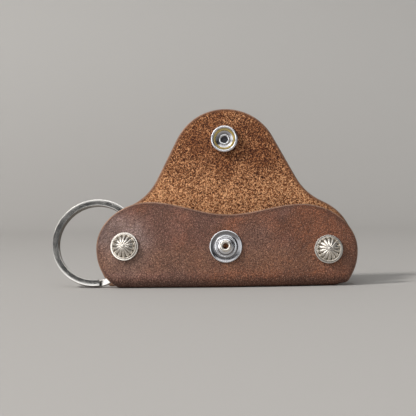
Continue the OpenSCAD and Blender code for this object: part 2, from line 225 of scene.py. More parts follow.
@dataclass
class Graph:
    """A material's node tree, with short calls for the nodes that the finishes use."""

    name: str
    material: bpy.types.Material = field(init=False)
    tree: bpy.types.NodeTree = field(init=False)
    shader: bpy.types.Node = field(init=False)

    def __post_init__(self) -> None:
        """Starts the material with a shader joined to its output."""
        self.material = bpy.data.materials.new(self.name)
        self.material.use_nodes = True
        self.tree = self.material.node_tree
        self.tree.nodes.clear()
        output = self.add("ShaderNodeOutputMaterial")
        self.shader = self.add("ShaderNodeBsdfPrincipled")
        self.tree.links.new(self.shader.outputs[0], output.inputs["Surface"])

    def add(self, kind: str, **settings: object) -> bpy.types.Node:
        """Adds a node.

        Args:
            kind: Blender's name of the node.
            **settings: attributes to set on it.

        Returns:
            The node.
        """
        node = self.tree.nodes.new(kind)
        for name, value in settings.items():
            setattr(node, name, value)
        return node

    def feed(self, socket: Socket, value: object) -> None:
        """Joins an output to a socket, or writes a plain value in it.

        Args:
            socket: the input.
            value: the output or the value.
        """
        if isinstance(value, Socket):
            self.tree.links.new(value, socket)
        else:
            socket.default_value = value

    def pattern(self) -> Socket:
        """Place on the hide's flat pattern, in millimetres."""
        return self.scaled(self.add("ShaderNodeUVMap", uv_map=Hide.PATTERN_MAP).outputs[0], Hide.PATTERN_SPAN)

    def place(self) -> Socket:
        """Place on a piece, in millimetres of its own frame."""
        return self.scaled(self.add("ShaderNodeTexCoord").outputs["Object"], 1 / MM)

    def scaled(self, vector: Socket, scale: float) -> Socket:
        """Scales a vector.

        Args:
            vector: the vector.
            scale: the number that it is multiplied by.

        Returns:
            The scaled vector.
        """
        node = self.add("ShaderNodeVectorMath", operation="SCALE")
        self.feed(node.inputs[0], vector)
        node.inputs["Scale"].default_value = scale
        return node.outputs[0]

    def laid(self, vector: Socket, patch: Patch) -> Socket:
        """Turns and stretches a place as a patch's pattern lies.

        Args:
            vector: the place.
            patch: the patch.

        Returns:
            The place on the pattern.
        """
        if not patch.stretch:
            return vector
        node = self.add("ShaderNodeMapping", vector_type="TEXTURE")
        self.feed(node.inputs["Vector"], vector)
        node.inputs["Rotation"].default_value = (0, 0, math.radians(patch.turn))
        node.inputs["Scale"].default_value = [1 / scale for scale in patch.stretch]
        return node.outputs[0]

    def cloud(self, vector: Socket, patch: Patch) -> Socket:
        """Soft noise.

        Args:
            vector: place in millimetres.
            patch: size and kind of the noise.

        Returns:
            A value about 0.5.
        """
        vector = self.laid(vector, patch)
        node = self.add("ShaderNodeTexNoise")
        self.feed(node.inputs["Vector"], vector)
        node.inputs["Scale"].default_value = 1 / patch.size
        node.inputs["Detail"].default_value = patch.octaves
        node.inputs["Roughness"].default_value = patch.fineness
        node.inputs["Distortion"].default_value = patch.warp
        return node.outputs[0]

    def cells(self, vector: Socket, size: float, feature: str) -> bpy.types.Node:
        """A pattern of cells.

        Args:
            vector: place in millimetres.
            size: size of a cell in millimetres.
            feature: what it measures its distance to.

        Returns:
            The node.
        """
        node = self.add("ShaderNodeTexVoronoi", feature=feature)
        self.feed(node.inputs["Vector"], vector)
        node.inputs["Scale"].default_value = 1 / size
        return node

    def edges(self, vector: Socket, size: float) -> Socket:
        """Distance to the nearest edge of a cell pattern."""
        return self.cells(vector, size, "DISTANCE_TO_EDGE").outputs["Distance"]

    def tints(self, vector: Socket, size: float) -> Socket:
        """A number of its own for each cell of a cell pattern."""
        return self.part(self.cells(vector, size, "F1").outputs["Color"], "X")

    def part(self, vector: Socket, letter: str) -> Socket:
        """One part of a vector.

        Args:
            vector: the vector.
            letter: X, Y or Z.

        Returns:
            The part.
        """
        parts = self.add("ShaderNodeSeparateXYZ")
        self.feed(parts.inputs[0], vector)
        return parts.outputs[letter]

    def distance(self, vector: Socket, point: Triple) -> Socket:
        """Distance of a place from a point.

        Args:
            vector: the place.
            point: the point.

        Returns:
            The distance.
        """
        node = self.add("ShaderNodeVectorMath", operation="DISTANCE")
        self.feed(node.inputs[0], vector)
        node.inputs[1].default_value = point
        return node.outputs["Value"]

    def warped(self, vector: Socket, size: float, by: float) -> Socket:
        """Shifts a place by soft noise, so that patterns on it wander.

        Args:
            vector: the place.
            size: size of the noise's patches, in millimetres.
            by: the shift, in millimetres.

        Returns:
            The shifted place.
        """
        node = self.add("ShaderNodeTexNoise")
        self.feed(node.inputs["Vector"], vector)
        node.inputs["Scale"].default_value = 1 / size
        shift = self.add("ShaderNodeVectorMath", operation="MULTIPLY_ADD")
        self.feed(shift.inputs[0], node.outputs["Color"])
        shift.inputs[1].default_value = (2 * by,) * 3
        self.feed(shift.inputs[2], vector)
        return shift.outputs[0]

    def span(self, value: Socket, ramp: Ramp) -> Socket:
        """Maps a value by a ramp.

        Args:
            value: the value.
            ramp: the ramp.

        Returns:
            The mapped value.
        """
        node = self.add("ShaderNodeMapRange", interpolation_type="SMOOTHSTEP")
        self.feed(node.inputs["Value"], value)
        for name, number in zip(("From Min", "From Max", "To Min", "To Max"), astuple(ramp)):
            node.inputs[name].default_value = number
        return node.outputs[0]

    def maths(self, operation: str, a: object, b: object = 0.0) -> Socket:
        """Joins two values.

        Args:
            operation: Blender's name of the sum, product or other operation.
            a: the first value.
            b: the second value, where the operation has one.

        Returns:
            The result.
        """
        node = self.add("ShaderNodeMath", operation=operation)
        self.feed(node.inputs[0], a)
        self.feed(node.inputs[1], b)
        return node.outputs[0]

    def blend(self, share: Socket, a: object, b: object) -> Socket:
        """Mixes two colours.

        Args:
            share: share of the second colour.
            a: the first colour.
            b: the second colour.

        Returns:
            The mixed colour.
        """
        node = self.add("ShaderNodeMix", data_type="RGBA", blend_type="MIX")
        self.feed(node.inputs[0], share)
        for socket, value in ((node.inputs[6], a), (node.inputs[7], b)):
            self.feed(socket, value if isinstance(value, Socket) else (*value, 1.0))
        return node.outputs[2]

    def kept(self, name: str) -> Socket:
        """A value kept on the mesh's points."""
        return self.add("ShaderNodeAttribute", attribute_name=name).outputs["Fac"]

    def raised(self, height: Socket, relief: Relief) -> None:
        """Raises the surface's shading, over what is raised before.

        Args:
            height: the height, from 0 to 1.
            relief: its depth and strength.
        """
        node = self.add("ShaderNodeBump")
        self.feed(node.inputs["Height"], height)
        node.inputs["Distance"].default_value = relief.depth * MM
        node.inputs["Strength"].default_value = relief.strength
        before = self.shader.inputs["Normal"].links
        if before:
            self.feed(node.inputs["Normal"], before[0].from_socket)
        self.feed(self.shader.inputs["Normal"], node.outputs[0])

    def surface(self, **sockets: object) -> None:
        """Sets the shader's sockets.

        Args:
            **sockets: each socket's value, under its name with underscores for spaces.
        """
        for name, value in sockets.items():
            socket = self.shader.inputs[name.replace("_", " ").title().replace("Ior", "IOR")]
            self.feed(socket, (*value, 1.0) if isinstance(value, tuple) else value)


@dataclass
class Sky(Graph):
    """The world's node tree, whose light depends on the direction."""

    background: bpy.types.Node = field(init=False)

    def __post_init__(self) -> None:
        """Starts the world with its background."""
        world = bpy.data.worlds.new(self.name)
        bpy.context.scene.world = world
        world.use_nodes = True
        self.tree = world.node_tree
        self.background = self.tree.nodes["Background"]

    def shine(self, strength: Socket, colour: Colour, behind: Colour) -> None:
        """Sets the world's light, and the colour that shows past the backdrop.

        Args:
            strength: light of each direction.
            colour: the light's colour.
            behind: colour that the camera sees.
        """
        self.feed(self.background.inputs["Strength"], strength)
        self.background.inputs["Color"].default_value = (*colour, 1.0)
        seen = self.add("ShaderNodeBackground")
        seen.inputs["Color"].default_value = (*behind, 1.0)
        mixed = self.add("ShaderNodeMixShader")
        self.feed(mixed.inputs[0], self.add("ShaderNodeLightPath").outputs["Is Camera Ray"])
        self.feed(mixed.inputs[1], self.background.outputs[0])
        self.feed(mixed.inputs[2], seen.outputs[0])
        self.feed(self.tree.nodes["World Output"].inputs["Surface"], mixed.outputs[0])


# ------------------------------------------------------------------- finishes


@dataclass(frozen=True)
class PaintedSheenSpot:
    """A spot of the grain side painted paler and pinkish-grey: a painted sheen, where light glances off the
    hide.

    Attributes:
        at: its middle on the pattern, across and along the hide.
        fade: share of the painted sheen by the distance from it.
    """

    at: Point
    fade: Ramp


@dataclass(frozen=True)
class GrainFinish:
    """Oiled brown grain side: pebbled, with darker borders and a worn paler band above the foot; painted
    shade in its creases and between its pebbles (there partly wax), a painted shadow where the fold turns
    under, and painted sheen in pale pinkish-grey spots and towards the left end.
    """

    # Greyer pinkish tone of the random zones; towards the left end it also stands in for painted sheen.
    cool_tone_and_sheen: Colour = (0.350, 0.144, 0.102)
    warm: Colour = (0.430, 0.132, 0.048)
    light: Colour = (0.50, 0.30, 0.21)
    # Pale pinkish-grey colour of the painted sheen spots.
    painted_sheen: Colour = (0.52, 0.38, 0.35)
    worn: Colour = (0.40, 0.185, 0.095)
    dark: Colour = (0.050, 0.019, 0.012)
    gloss: float = 0.42
    roughness: Ramp = Ramp(0, 1, 0.64, 0.44)
    warp_size: float = 1.6
    warp_by: float = 0.55
    zones: Patch = Patch(24, 3, 0.55, 0.4)
    # Painted sheen: the zones drift to the cool pinkish-grey tone towards the left end.
    painted_sheen_drift: Ramp = Ramp(-45, 25, -0.08, 0.08)
    zone_fade: Ramp = Ramp(0.40, 0.60)
    # Spots of painted sheen, each faded by its distance.
    painted_sheen_spots: tuple[PaintedSheenSpot, ...] = (PaintedSheenSpot((-41.0, -21.6), Ramp(7, 16, 0.92, 0.0)),
                                            PaintedSheenSpot((-49.0, -28.5), Ramp(3, 10, 0.85, 0.0)),
                                            PaintedSheenSpot((-38.0, -15.5), Ramp(2, 7, 0.40, 0.0)),
                                            PaintedSheenSpot((12.5, -22.8), Ramp(3, 12, 0.34, 0.0)))
    painted_sheen_mottle: Ramp = Ramp(0.3, 0.6, 0.7, 1.0)
    wear_low: Ramp = Ramp(8, 12)
    wear_high: Ramp = Ramp(16, 24, 0.66, 0.0)
    wear_right: Ramp = Ramp(25, 48, 1.0, 0.5)
    wear_mottle: Ramp = Ramp(0.3, 0.6, 0.6, 1.0)
    # Painted shadow: darker low on the fold, where the hide turns under.
    painted_foot_shadow: Ramp = Ramp(6.2, 9.8, 0.66, 0.0)
    border_shade: Ramp = Ramp(0.5, 2.6, 0.45, 0.0)
    stains: Patch = Patch(15, 2, 0.5)
    stain_shade: Ramp = Ramp(0.38, 0.62, 0.46, 0.0)
    mottle: Patch = Patch(6.5, 2, 0.5, 0.5)
    mottle_shade: Ramp = Ramp(0.34, 0.60, 0.15, 0.0)
    pebbles: Patch = Patch(0.70, stretch=(0.85, 1.25, 1), turn=-35)
    pebble_top: Ramp = Ramp(0.0, 0.26)
    # Darker in the gaps between pebbles: partly wax, partly painted shade.
    gap_wax_and_painted_shade: Ramp = Ramp(0, 1, 0.56, 0.0)
    pebble_relief: Relief = Relief(0.09, 0.9)
    dark_pebbles: Ramp = Ramp(0.0, 0.55, 0.20, 0.0)
    light_pebbles: Ramp = Ramp(0.55, 1.0, 0.0, 0.09)
    fine: Patch = Patch(0.37, 2, 0.6, 0.3, (0.6, 1.3, 1), -40)
    fine_shade: Ramp = Ramp(0.37, 0.53, 0.92, 0.0)
    fine_light: Ramp = Ramp(0.50, 0.64, 0.0, 0.56)
    fine_relief: Relief = Relief(0.12, 0.8)
    creases: Patch = Patch(3.4, stretch=(0.7, 1.6, 1), turn=-42)
    crease_side: Ramp = Ramp(0.0, 0.10)
    # Painted shade in the creases.
    painted_crease_shade: Ramp = Ramp(0, 1, 0.35, 0.0)
    crease_relief: Relief = Relief(0.10, 0.8)
    swells: Patch = Patch(6, 3, 0.5)
    swell_relief: Relief = Relief(0.25, 0.5)

    def make(self) -> bpy.types.Material:
        """Builds the material.

        Returns:
            The material.
        """
        g = Graph("oiled_grain")
        at = g.pattern()
        across, way = g.part(at, "X"), g.maths("ABSOLUTE", g.part(at, "Y"))
        bent = g.warped(at, self.warp_size, self.warp_by)
        mottle = g.cloud(at, self.mottle)
        # Random tone zones, drifting to the cool pinkish-grey tone at the left end as painted sheen.
        zones = g.maths("ADD", g.cloud(at, self.zones), g.span(across, self.painted_sheen_drift))
        colour = g.blend(g.span(zones, self.zone_fade), self.cool_tone_and_sheen, self.warm)
        # Painted sheen: paler pinkish-grey spots, broken by the mottle.
        for spot in self.painted_sheen_spots:
            near = g.span(g.distance(at, (*spot.at, 0.0)), spot.fade)
            share = g.maths("MULTIPLY", near, g.span(mottle, self.painted_sheen_mottle))
            colour = g.blend(share, colour, self.painted_sheen)
        wear = g.span(way, self.wear_low)
        for value, ramp in ((way, self.wear_high), (across, self.wear_right), (mottle, self.wear_mottle)):
            wear = g.maths("MULTIPLY", wear, g.span(value, ramp))
        colour = g.blend(wear, colour, self.worn)
        pebbled = g.laid(bent, self.pebbles)
        tops = g.tints(pebbled, self.pebbles.size)
        pebbles = g.span(g.edges(pebbled, self.pebbles.size), self.pebble_top)
        fine = g.cloud(at, self.fine)
        creases = g.span(g.edges(g.laid(bent, self.creases), self.creases.size), self.crease_side)
        # In this table the foot row is painted shadow where the fold turns under, the pebble-gap row is
        # partly wax and partly painted shade, and the crease row is painted shade.
        for value, ramp, tint in ((g.cloud(at, self.stains), self.stain_shade, self.dark),
                                  (mottle, self.mottle_shade, self.dark), (way, self.painted_foot_shadow, self.dark),
                                  (tops, self.dark_pebbles, self.dark),
                                  (tops, self.light_pebbles, self.light),
                                  (fine, self.fine_shade, self.dark),
                                  (fine, self.fine_light, self.light),
                                  (pebbles, self.gap_wax_and_painted_shade, self.dark),
                                  (creases, self.painted_crease_shade, self.dark),
                                  (g.kept(Hide.BORDER), self.border_shade, self.dark)):
            colour = g.blend(g.span(value, ramp), colour, tint)
        g.surface(base_color=colour, specular_ior_level=self.gloss, roughness=g.span(pebbles, self.roughness))
        for height, relief in ((g.cloud(at, self.swells), self.swell_relief), (creases, self.crease_relief),
                               (pebbles, self.pebble_relief), (fine, self.fine_relief)):
            g.raised(height, relief)
        return g.material


@dataclass(frozen=True)
class FleshFinish:
    """Rough flesh side: matted orange-brown fibres and dark specks, darker near the tip, with a darker band
    across the flap's crease (partly wear, partly painted shade) and painted shade in the pocket.
    """

    light: Colour = (0.840, 0.450, 0.222)
    tan: Colour = (0.315, 0.103, 0.031)
    dark: Colour = (0.055, 0.016, 0.007)
    rubbed: Colour = (0.170, 0.070, 0.035)
    roughness: float = 0.93
    gloss: float = 0.2
    sheen: float = 0.08
    sheen_roughness: float = 0.6
    warp_size: float = 2.2
    warp_by: float = 0.9
    strands: Patch = Patch(0.46, 2, 0.6, 0.0, (1.7, 0.6, 1), 38)
    strand_share: float = 0.40
    crossed: Patch = Patch(0.50, 2, 0.6, 0.0, (1.5, 0.65, 1), -50)
    crossed_share: float = 0.36
    tufts: Patch = Patch(0.95, 3, 0.65, 0.8)
    tuft_share: float = 0.24
    nap_tone: Ramp = Ramp(0.435, 0.565, -0.20, 1.14)
    tip_tone: Ramp = Ramp(42.0, 54.5, 0.23, -0.15)
    patches: Patch = Patch(9, 3, 0.6, 0.8)
    patch_tone: Ramp = Ramp(0.36, 0.64, -0.14, 0.14)
    left_tone: Ramp = Ramp(-28, -12, 0.13, 0.0)
    # Darker band across the flap's crease: partly wear, partly painted shade.
    crease_wear_and_painted_shade: float = 0.10
    # Painted shade on the flesh side inside the pocket.
    painted_pocket_shade: Ramp = Ramp(17, 27, 0.45, 0.0)
    dark_to_tan: Ramp = Ramp(-0.1, 0.5)
    tan_to_light: Ramp = Ramp(0.46, 1.36)
    specks: Patch = Patch(0.68, 2, 0.6, 0.6)
    speck_shade: Ramp = Ramp(0.37, 0.44, 0.75, 0.0)
    border_rub: Ramp = Ramp(0.85, 1.7, 0.62, 0.0)
    nap_relief: Relief = Relief(0.9, 0.9)
    tuft_relief: Relief = Relief(0.30, 0.8)

    def make(self) -> bpy.types.Material:
        """Builds the material.

        Returns:
            The material.
        """
        g = Graph("rough_flesh")
        at = g.pattern()
        across, run = g.part(at, "X"), g.part(at, "Y")
        bent = g.warped(at, self.warp_size, self.warp_by)
        tufts = g.cloud(at, self.tufts)
        nap = g.maths("MULTIPLY", g.cloud(bent, self.strands), self.strand_share)
        for fibres, share in ((g.cloud(bent, self.crossed), self.crossed_share), (tufts, self.tuft_share)):
            nap = g.maths("ADD", nap, g.maths("MULTIPLY", fibres, share))
        tone = g.span(nap, self.nap_tone)
        for value, ramp in ((run, self.tip_tone), (g.cloud(at, self.patches), self.patch_tone),
                            (across, self.left_tone)):
            tone = g.maths("ADD", tone, g.span(value, ramp))
        # Darker across the flap's crease (partly wear, partly painted shade), and painted shade in the
        # pocket.
        crease = g.maths("MULTIPLY", g.kept(Hide.CREASE), self.crease_wear_and_painted_shade)
        for dark in (crease, g.span(run, self.painted_pocket_shade)):
            tone = g.maths("SUBTRACT", tone, dark)
        colour = g.blend(g.span(tone, self.dark_to_tan), self.dark, self.tan)
        for value, ramp, tint in ((tone, self.tan_to_light, self.light),
                                  (g.cloud(bent, self.specks), self.speck_shade, self.dark),
                                  (g.kept(Hide.BORDER), self.border_rub, self.rubbed)):
            colour = g.blend(g.span(value, ramp), colour, tint)
        g.surface(base_color=colour, roughness=self.roughness, specular_ior_level=self.gloss,
                  sheen_weight=self.sheen, sheen_roughness=self.sheen_roughness)
        g.raised(nap, self.nap_relief)
        g.raised(tufts, self.tuft_relief)
        return g.material


@dataclass(frozen=True)
class EdgeFinish:
    """Cut edge of the hide, rubbed round and shiny, with its fibres in layers."""

    light: Colour = (0.40, 0.225, 0.140)
    dark: Colour = (0.120, 0.058, 0.036)
    gloss: float = 0.5
    fibres: Patch = Patch(0.5, 4, 0.7, 0.5)
    fibre_fade: Ramp = Ramp(0.3, 0.7)
    roughness: Ramp = Ramp(0.3, 0.7, 0.32, 0.55)
    fibre_relief: Relief = Relief(0.06, 0.7)
    stains: Patch = Patch(6, 3, 0.6)
    stain_shade: Ramp = Ramp(0.35, 0.65, 0.0, 0.6)

    def make(self) -> bpy.types.Material:
        """Builds the material.

        Returns:
            The material.
        """
        g = Graph("rubbed_edge")
        at = g.place()
        fibres = g.cloud(at, self.fibres)
        colour = g.blend(g.span(fibres, self.fibre_fade), self.dark, self.light)
        colour = g.blend(g.span(g.cloud(at, self.stains), self.stain_shade), colour, self.dark)
        g.surface(base_color=colour, roughness=g.span(fibres, self.roughness), specular_ior_level=self.gloss)
        g.raised(fibres, self.fibre_relief)
        return g.material


@dataclass(frozen=True)
class MetalFinish:
    """Plated or polished metal with a thin film and fine scratches, with painted shade and painted dark
    reflection in its hollows (in the conchos' grooves partly patina).

    Attributes:
        name: the material's name.
        slot: the material slot that it stands for.
        colour: colour of the open metal.
        hollow: colour of the painted shade and painted dark reflection in hollows.
        roughness: roughness of the clean metal.
        scratch: depth of the scratches, in millimetres.
    """

    name: str
    slot: str
    colour: Colour
    hollow: Colour
    roughness: float
    scratch: float = 0.0008
    scratch_strength: float = 0.35
    scratches: Patch = Patch(0.35, 3, 0.6, 0.0, (0.35, 3.5, 1.2), 35)
    film: Patch = Patch(3.2, 4, 0.6, 0.3)
    film_fade: Ramp = Ramp(0.4, 0.75, 0.0, 0.28)
    film_dark: float = 0.82
    film_from: float = 0.3
    film_full: float = 0.75
    film_roughness: float = 0.08

    def make(self) -> bpy.types.Material:
        """Builds the material.

        Returns:
            The material.
        """
        g = Graph(self.name)
        at = g.place()
        film = g.cloud(at, self.film)
        filmed = tuple(self.film_dark * part for part in self.colour)
        worn = g.blend(g.span(film, self.film_fade), self.colour, filmed)
        rough = Ramp(self.film_from, self.film_full, self.roughness, self.roughness + self.film_roughness)
        # Painted shade and painted dark reflection in the hollows, from the value kept on the mesh; in the
        # conchos' grooves partly patina.
        colour = g.blend(g.span(g.kept(Fitting.SHADE_LAYER), Ramp(0, 1)), worn, self.hollow)
        g.surface(base_color=colour, metallic=1.0, roughness=g.span(film, rough))
        g.raised(g.cloud(at, self.scratches), Relief(self.scratch, self.scratch_strength))
        return g.material

    def material(self) -> bpy.types.Material:
        """The material, made once."""
        return bpy.data.materials.get(self.name) or self.make()


# The second colour of each metal is its painted shade and painted dark reflection in hollows; on the nickel
# conchos it is partly patina.
NICKEL = MetalFinish("polished_nickel", "nickel", (0.78, 0.73, 0.66), (0.20, 0.17, 0.13), 0.23)
BRIGHT = MetalFinish("bright_nickel", "nickel", (0.74, 0.74, 0.76), (0.058, 0.052, 0.056), 0.17)
BRASS = MetalFinish("spring_brass", "brass", (0.66, 0.50, 0.20), (0.30, 0.22, 0.08), 0.22)
STEEL = MetalFinish("ring_steel", "polished_steel", (0.60, 0.58, 0.55), (0.13, 0.105, 0.08), 0.13, 0.003)


# ------------------------------------------------------------------- the hide


@dataclass(frozen=True)
class Bend:
    """One bend of the fold, in its section.

    Attributes:
        y: its middle's place, backwards.
        z: its middle's height.
        radius: radius of the hide's middle.
        turn: angle that it turns, in radians.
    """

    y: float
    z: float
    radius: float
    turn: float


@dataclass(frozen=True)
class Fold:
    """Section and bow of the folded hide, in millimetres, as the CAD part has them."""

    thickness: float = 2.0
    pocket_gap: float = 9.6
    lean: float = 8.0
    bow_r: float = 380.0
    front_r: float = 3.2
    back_r: float = 2.2

    @cached_property
    def tilt(self) -> tuple[float, float]:
        """Sine and cosine of the lean."""
        return math.sin(math.radians(self.lean)), math.cos(math.radians(self.lean))

    @cached_property
    def half_flat(self) -> float:
        """Half the depth of the fold's flat foot.

        Returns:
            The half depth.
        """
        sine, cosine = self.tilt
        pitch = self.pocket_gap + self.thickness
        return (pitch - self.front_r - self.back_r + (self.back_r - self.front_r) * sine) / cosine / 2

    def bend(self, back: bool) -> Bend:
        """The bend below a panel.

        Args:
            back: whether it is the back panel.

        Returns:
            The bend.
        """
        radius = self.back_r if back else self.front_r
        turn = math.radians(90 - self.lean if back else 90 + self.lean)
        return Bend(self.half_flat if back else -self.half_flat, self.thickness / 2 + radius, radius, turn)

    def straight(self, back: bool) -> float:
        """Way along the hide from its foot's middle to the straight part of a panel."""
        return self.half_flat + self.bend(back).radius * self.bend(back).turn

    def along(self, y: float, z: float) -> float:
        """Height along the panels of a point of the section."""
        return y * self.tilt[0] + z * self.tilt[1]

    def knee(self, back: bool) -> float:
        """Height along the panels of a bend's middle."""
        return self.along(self.bend(back).y, self.bend(back).z)

    def height(self, run: float) -> float:
        """Height along the panels of a point of the hide's middle, given its way from the foot."""
        return self.along(*self.section(run, 0.0))

    def depth(self, back: bool) -> float:
        """Depth of a panel's middle.

        Args:
            back: whether it is the back panel.

        Returns:
            The depth, square to the panels.
        """
        bend = self.bend(back)
        sine, cosine = self.tilt
        return bend.y * cosine - bend.z * sine + (bend.radius if back else -bend.radius)

    def face(self, back: bool, gap: float) -> float:
        """Depth of a fitting's seat on the outside of a panel, a gap off the leather."""
        return self.depth(back) + (self.thickness / 2 + gap if back else -self.thickness / 2 - gap)

    def run(self, height: float, back: bool) -> float:
        """Way along the hide to a height on a panel.

        Args:
            height: the height, along the panel.
            back: whether it is the back panel.

        Returns:
            The way from the middle of the foot, negative on the front panel.
        """
        way = self.straight(back) + height - self.knee(back)
        return way if back else -way

    def section(self, run: float, lift: float) -> Point:
        """Point of the section.

        Args:
            run: way along the hide's middle from the middle of its foot, positive towards the back.
            lift: height out of the hide's middle, towards its grain side.

        Returns:
            Its place backwards and up, in millimetres.
        """
        back = run >= 0
        way = abs(run) - self.half_flat
        if way <= 0:
            return run, self.thickness / 2 - lift
        bend = self.bend(back)
        angle = min(way / bend.radius, bend.turn)
        out = -math.pi / 2 + (angle if back else -angle)
        y = bend.y + (bend.radius + lift) * math.cos(out)
        z = bend.z + (bend.radius + lift) * math.sin(out)
        rest = max(0.0, way - bend.radius * bend.turn)
        return y + rest * self.tilt[0], z + rest * self.tilt[1]

    def place(self, x: float, run: float, lift: float) -> Vector:
        """Point of the bowed hide.

        Args:
            x: place across the hide.
            run: way along its middle, positive towards the back.
            lift: height out of its middle.

        Returns:
            The point in the frame, in metres.
        """
        y, z = self.section(run, lift)
        radius = self.bow_r - y
        return Vector((x, self.bow_r - math.sqrt(radius * radius - x * x), z)) * MM

    def seat(self, at: Point, depth: float) -> Matrix:
        """Frame of a fitting: Z out of the front, Y up along the hide.

        Args:
            at: its place on the hide, in millimetres.
            depth: its depth square to the panels, backwards.

        Returns:
            The frame, for a mesh in metres.
        """
        turn = math.asin(at[0] / self.bow_r)
        sine, cosine = self.tilt
        middle = Vector((0, depth * cosine + at[1] * sine - self.bow_r, -depth * sine + at[1] * cosine))
        spin = Matrix.Rotation(turn, 4, "Z")
        origin = (spin @ middle + Vector((0, self.bow_r, 0))) * MM
        return Matrix.Translation(origin) @ spin @ Matrix.Rotation(math.radians(90 - self.lean), 4, "X")


def turned(point: Point, angle: float) -> Point:
    """Turns a point of the pattern about its origin, by an angle in degrees."""
    c, s = math.cos(math.radians(angle)), math.sin(math.radians(angle))
    return point[0] * c - point[1] * s, point[0] * s + point[1] * c


def sweep(start: float, end: float, steps: int = CURVE_STEPS) -> list[float]:
    """Angles in radians at even steps between two angles in degrees."""
    return [math.radians(start + (end - start) * i / steps) for i in range(steps + 1)]


def arc(mid: Point, radius: float, start: float, end: float, steps: int = CURVE_STEPS) -> Profile:
    """Points of an arc, from one angle in degrees to another."""
    return [(mid[0] + radius * math.cos(a), mid[1] + radius * math.sin(a)) for a in sweep(start, end, steps)]


def lobe(mid: Point, size: Point, share: float, start: float, end: float) -> Profile:
    """Points of a squarish ellipse.

    Args:
        mid: its middle.
        size: its half width and half height.
        share: power of its sine and cosine, 1 for a true ellipse.
        start: first angle in degrees.
        end: last angle in degrees.

    Returns:
        The points.
    """
    def part(value: float) -> float:
        """Raises a sine or cosine to the power, with its sign kept."""
        return math.copysign(abs(value) ** share, value)

    return [(mid[0] + size[0] * part(math.cos(a)), mid[1] + size[1] * part(math.sin(a)))
            for a in sweep(start, end)]


@dataclass(frozen=True)
class Outline:
    """Outlines of the two panels on the hide, in millimetres, as the CAD part has them."""

    width: float = 106.2
    wide_z: float = 14.5
    crest_z: float = 33.3
    dip_z: float = 28.7
    crest_inset: float = 22.2
    foot_inset: float = 11.0
    foot_drop: float = 1.1
    end_share: float = 2 / 1.95
    front_skew: float = 1.6
    tip_z: float = 74.0
    tip_r: float = 22.4
    tip_shift: float = 0.9
    side_angle: float = 27.6
    flare_r: float = 23.5
    shoulder_r: float = 21.5
    back_skew: float = 0.9
    post_inset: float = 12.5
    post_z: float = 14.9
    stud_z: float = 15.6
    socket_inset: float = 13.1
    notch_r: float = 3.775
    notch_start: float = 1.8

    @property
    def half(self) -> float:
        """Half the width of the case."""
        return self.width / 2

    def foot(self) -> Profile:
        """Lower end of either panel, up to its widest point."""
        return lobe((self.half - self.foot_inset, self.wide_z),
                    (self.foot_inset, self.wide_z + self.foot_drop), 1.0, -90, 0)

    def front(self, side: Side) -> Profile:
        """Half of the front panel.

        Args:
            side: which half.

        Returns:
            Its points, from its foot to the middle of its wavy edge.
        """
        crest_x = self.half - self.crest_inset
        mean, swing = (self.crest_z + self.dip_z) / 2, (self.crest_z - self.dip_z) / 2
        end = lobe((crest_x, self.wide_z), (self.crest_inset, self.crest_z - self.wide_z),
                   self.end_share, 0, 90)
        shares = [1 - i / CURVE_STEPS for i in range(CURVE_STEPS + 1)]
        wave = [(crest_x * share, mean - swing * math.cos(math.pi * share)) for share in shares]
        return [turned((side.value * x, z), -self.front_skew) for x, z in self.foot() + end + wave]

    def back(self, side: Side) -> Profile:
        """Half of the back panel and flap.

        Args:
            side: which half.

        Returns:
            Its points, from its foot to the tip.
        """
        normal = (math.cos(math.radians(self.side_angle)), math.sin(math.radians(self.side_angle)))
        shoulder = (self.half - self.shoulder_r, self.wide_z)
        tip = (side.value * self.tip_shift, self.tip_z - self.tip_r)
        off = sum(n * (t - s) for n, t, s in zip(normal, tip, shoulder)) + self.tip_r + self.flare_r
        slide = math.sqrt((self.shoulder_r + self.flare_r) ** 2 - off ** 2)
        flare = (shoulder[0] + normal[0] * off - normal[1] * slide,
                 shoulder[1] + normal[1] * off + normal[0] * slide)
        start = math.degrees(math.atan2(flare[1] - shoulder[1], flare[0] - shoulder[0]))
        points = (self.foot() + arc(shoulder, self.shoulder_r, 0, start)
                  + arc(flare, self.flare_r, start - 180, self.side_angle - 180)
                  + arc(tip, self.tip_r, self.side_angle, 90))
        return [turned((side.value * x, z), self.back_skew) for x, z in points]

    def post(self, side: Side) -> Point:
        """Place of a post."""
        return turned((side.value * (self.half - self.post_inset), self.post_z), -self.front_skew)

    def stud(self) -> Point:
        """Place of the snap's stud."""
        return turned((0, self.stud_z), -self.front_skew)

    def socket(self) -> Point:
        """Place of the snap's socket."""
        return turned((self.tip_shift, self.tip_z - self.socket_inset), self.back_skew)


FOLD = Fold()
OUTLINE = Outline()


@dataclass(frozen=True)
class Hole:
    """A round hole of the flat pattern: its place across and along the hide, and its radius."""

    POINTS = 32

    x: float
    run: float
    radius: float

    def off(self, x: float, run: float) -> float:
        """Distance of a place from its middle."""
        return math.hypot(x - self.x, run - self.run)

    def line(self) -> np.ndarray:
        """Points of its edge."""
        return np.array([(self.x + self.radius * math.cos(a), self.run + self.radius * math.sin(a))
                         for a in np.linspace(0, 2 * math.pi, self.POINTS, False)])


@dataclass(frozen=True)
class Wave:
    """Noise of the hide's sway: lengths across and along the hide, place in the noise, and strength."""

    across: float
    along: float
    place: float
    strength: float


@dataclass(frozen=True)
class FlatPattern:
    """The hide laid flat.

    Attributes:
        lines: border lines of the rounded edge, from its waist inwards, with each one's drop from the face.
        points: all points of a face, the innermost border line first, then the holes.
        faces: triangles between those points.
    """

    lines: list[tuple[np.ndarray, float]]
    points: np.ndarray
    faces: list[Sequence[int]]

    @property
    def count(self) -> int:
        """Points of a border line."""
        return len(self.lines[0][0])


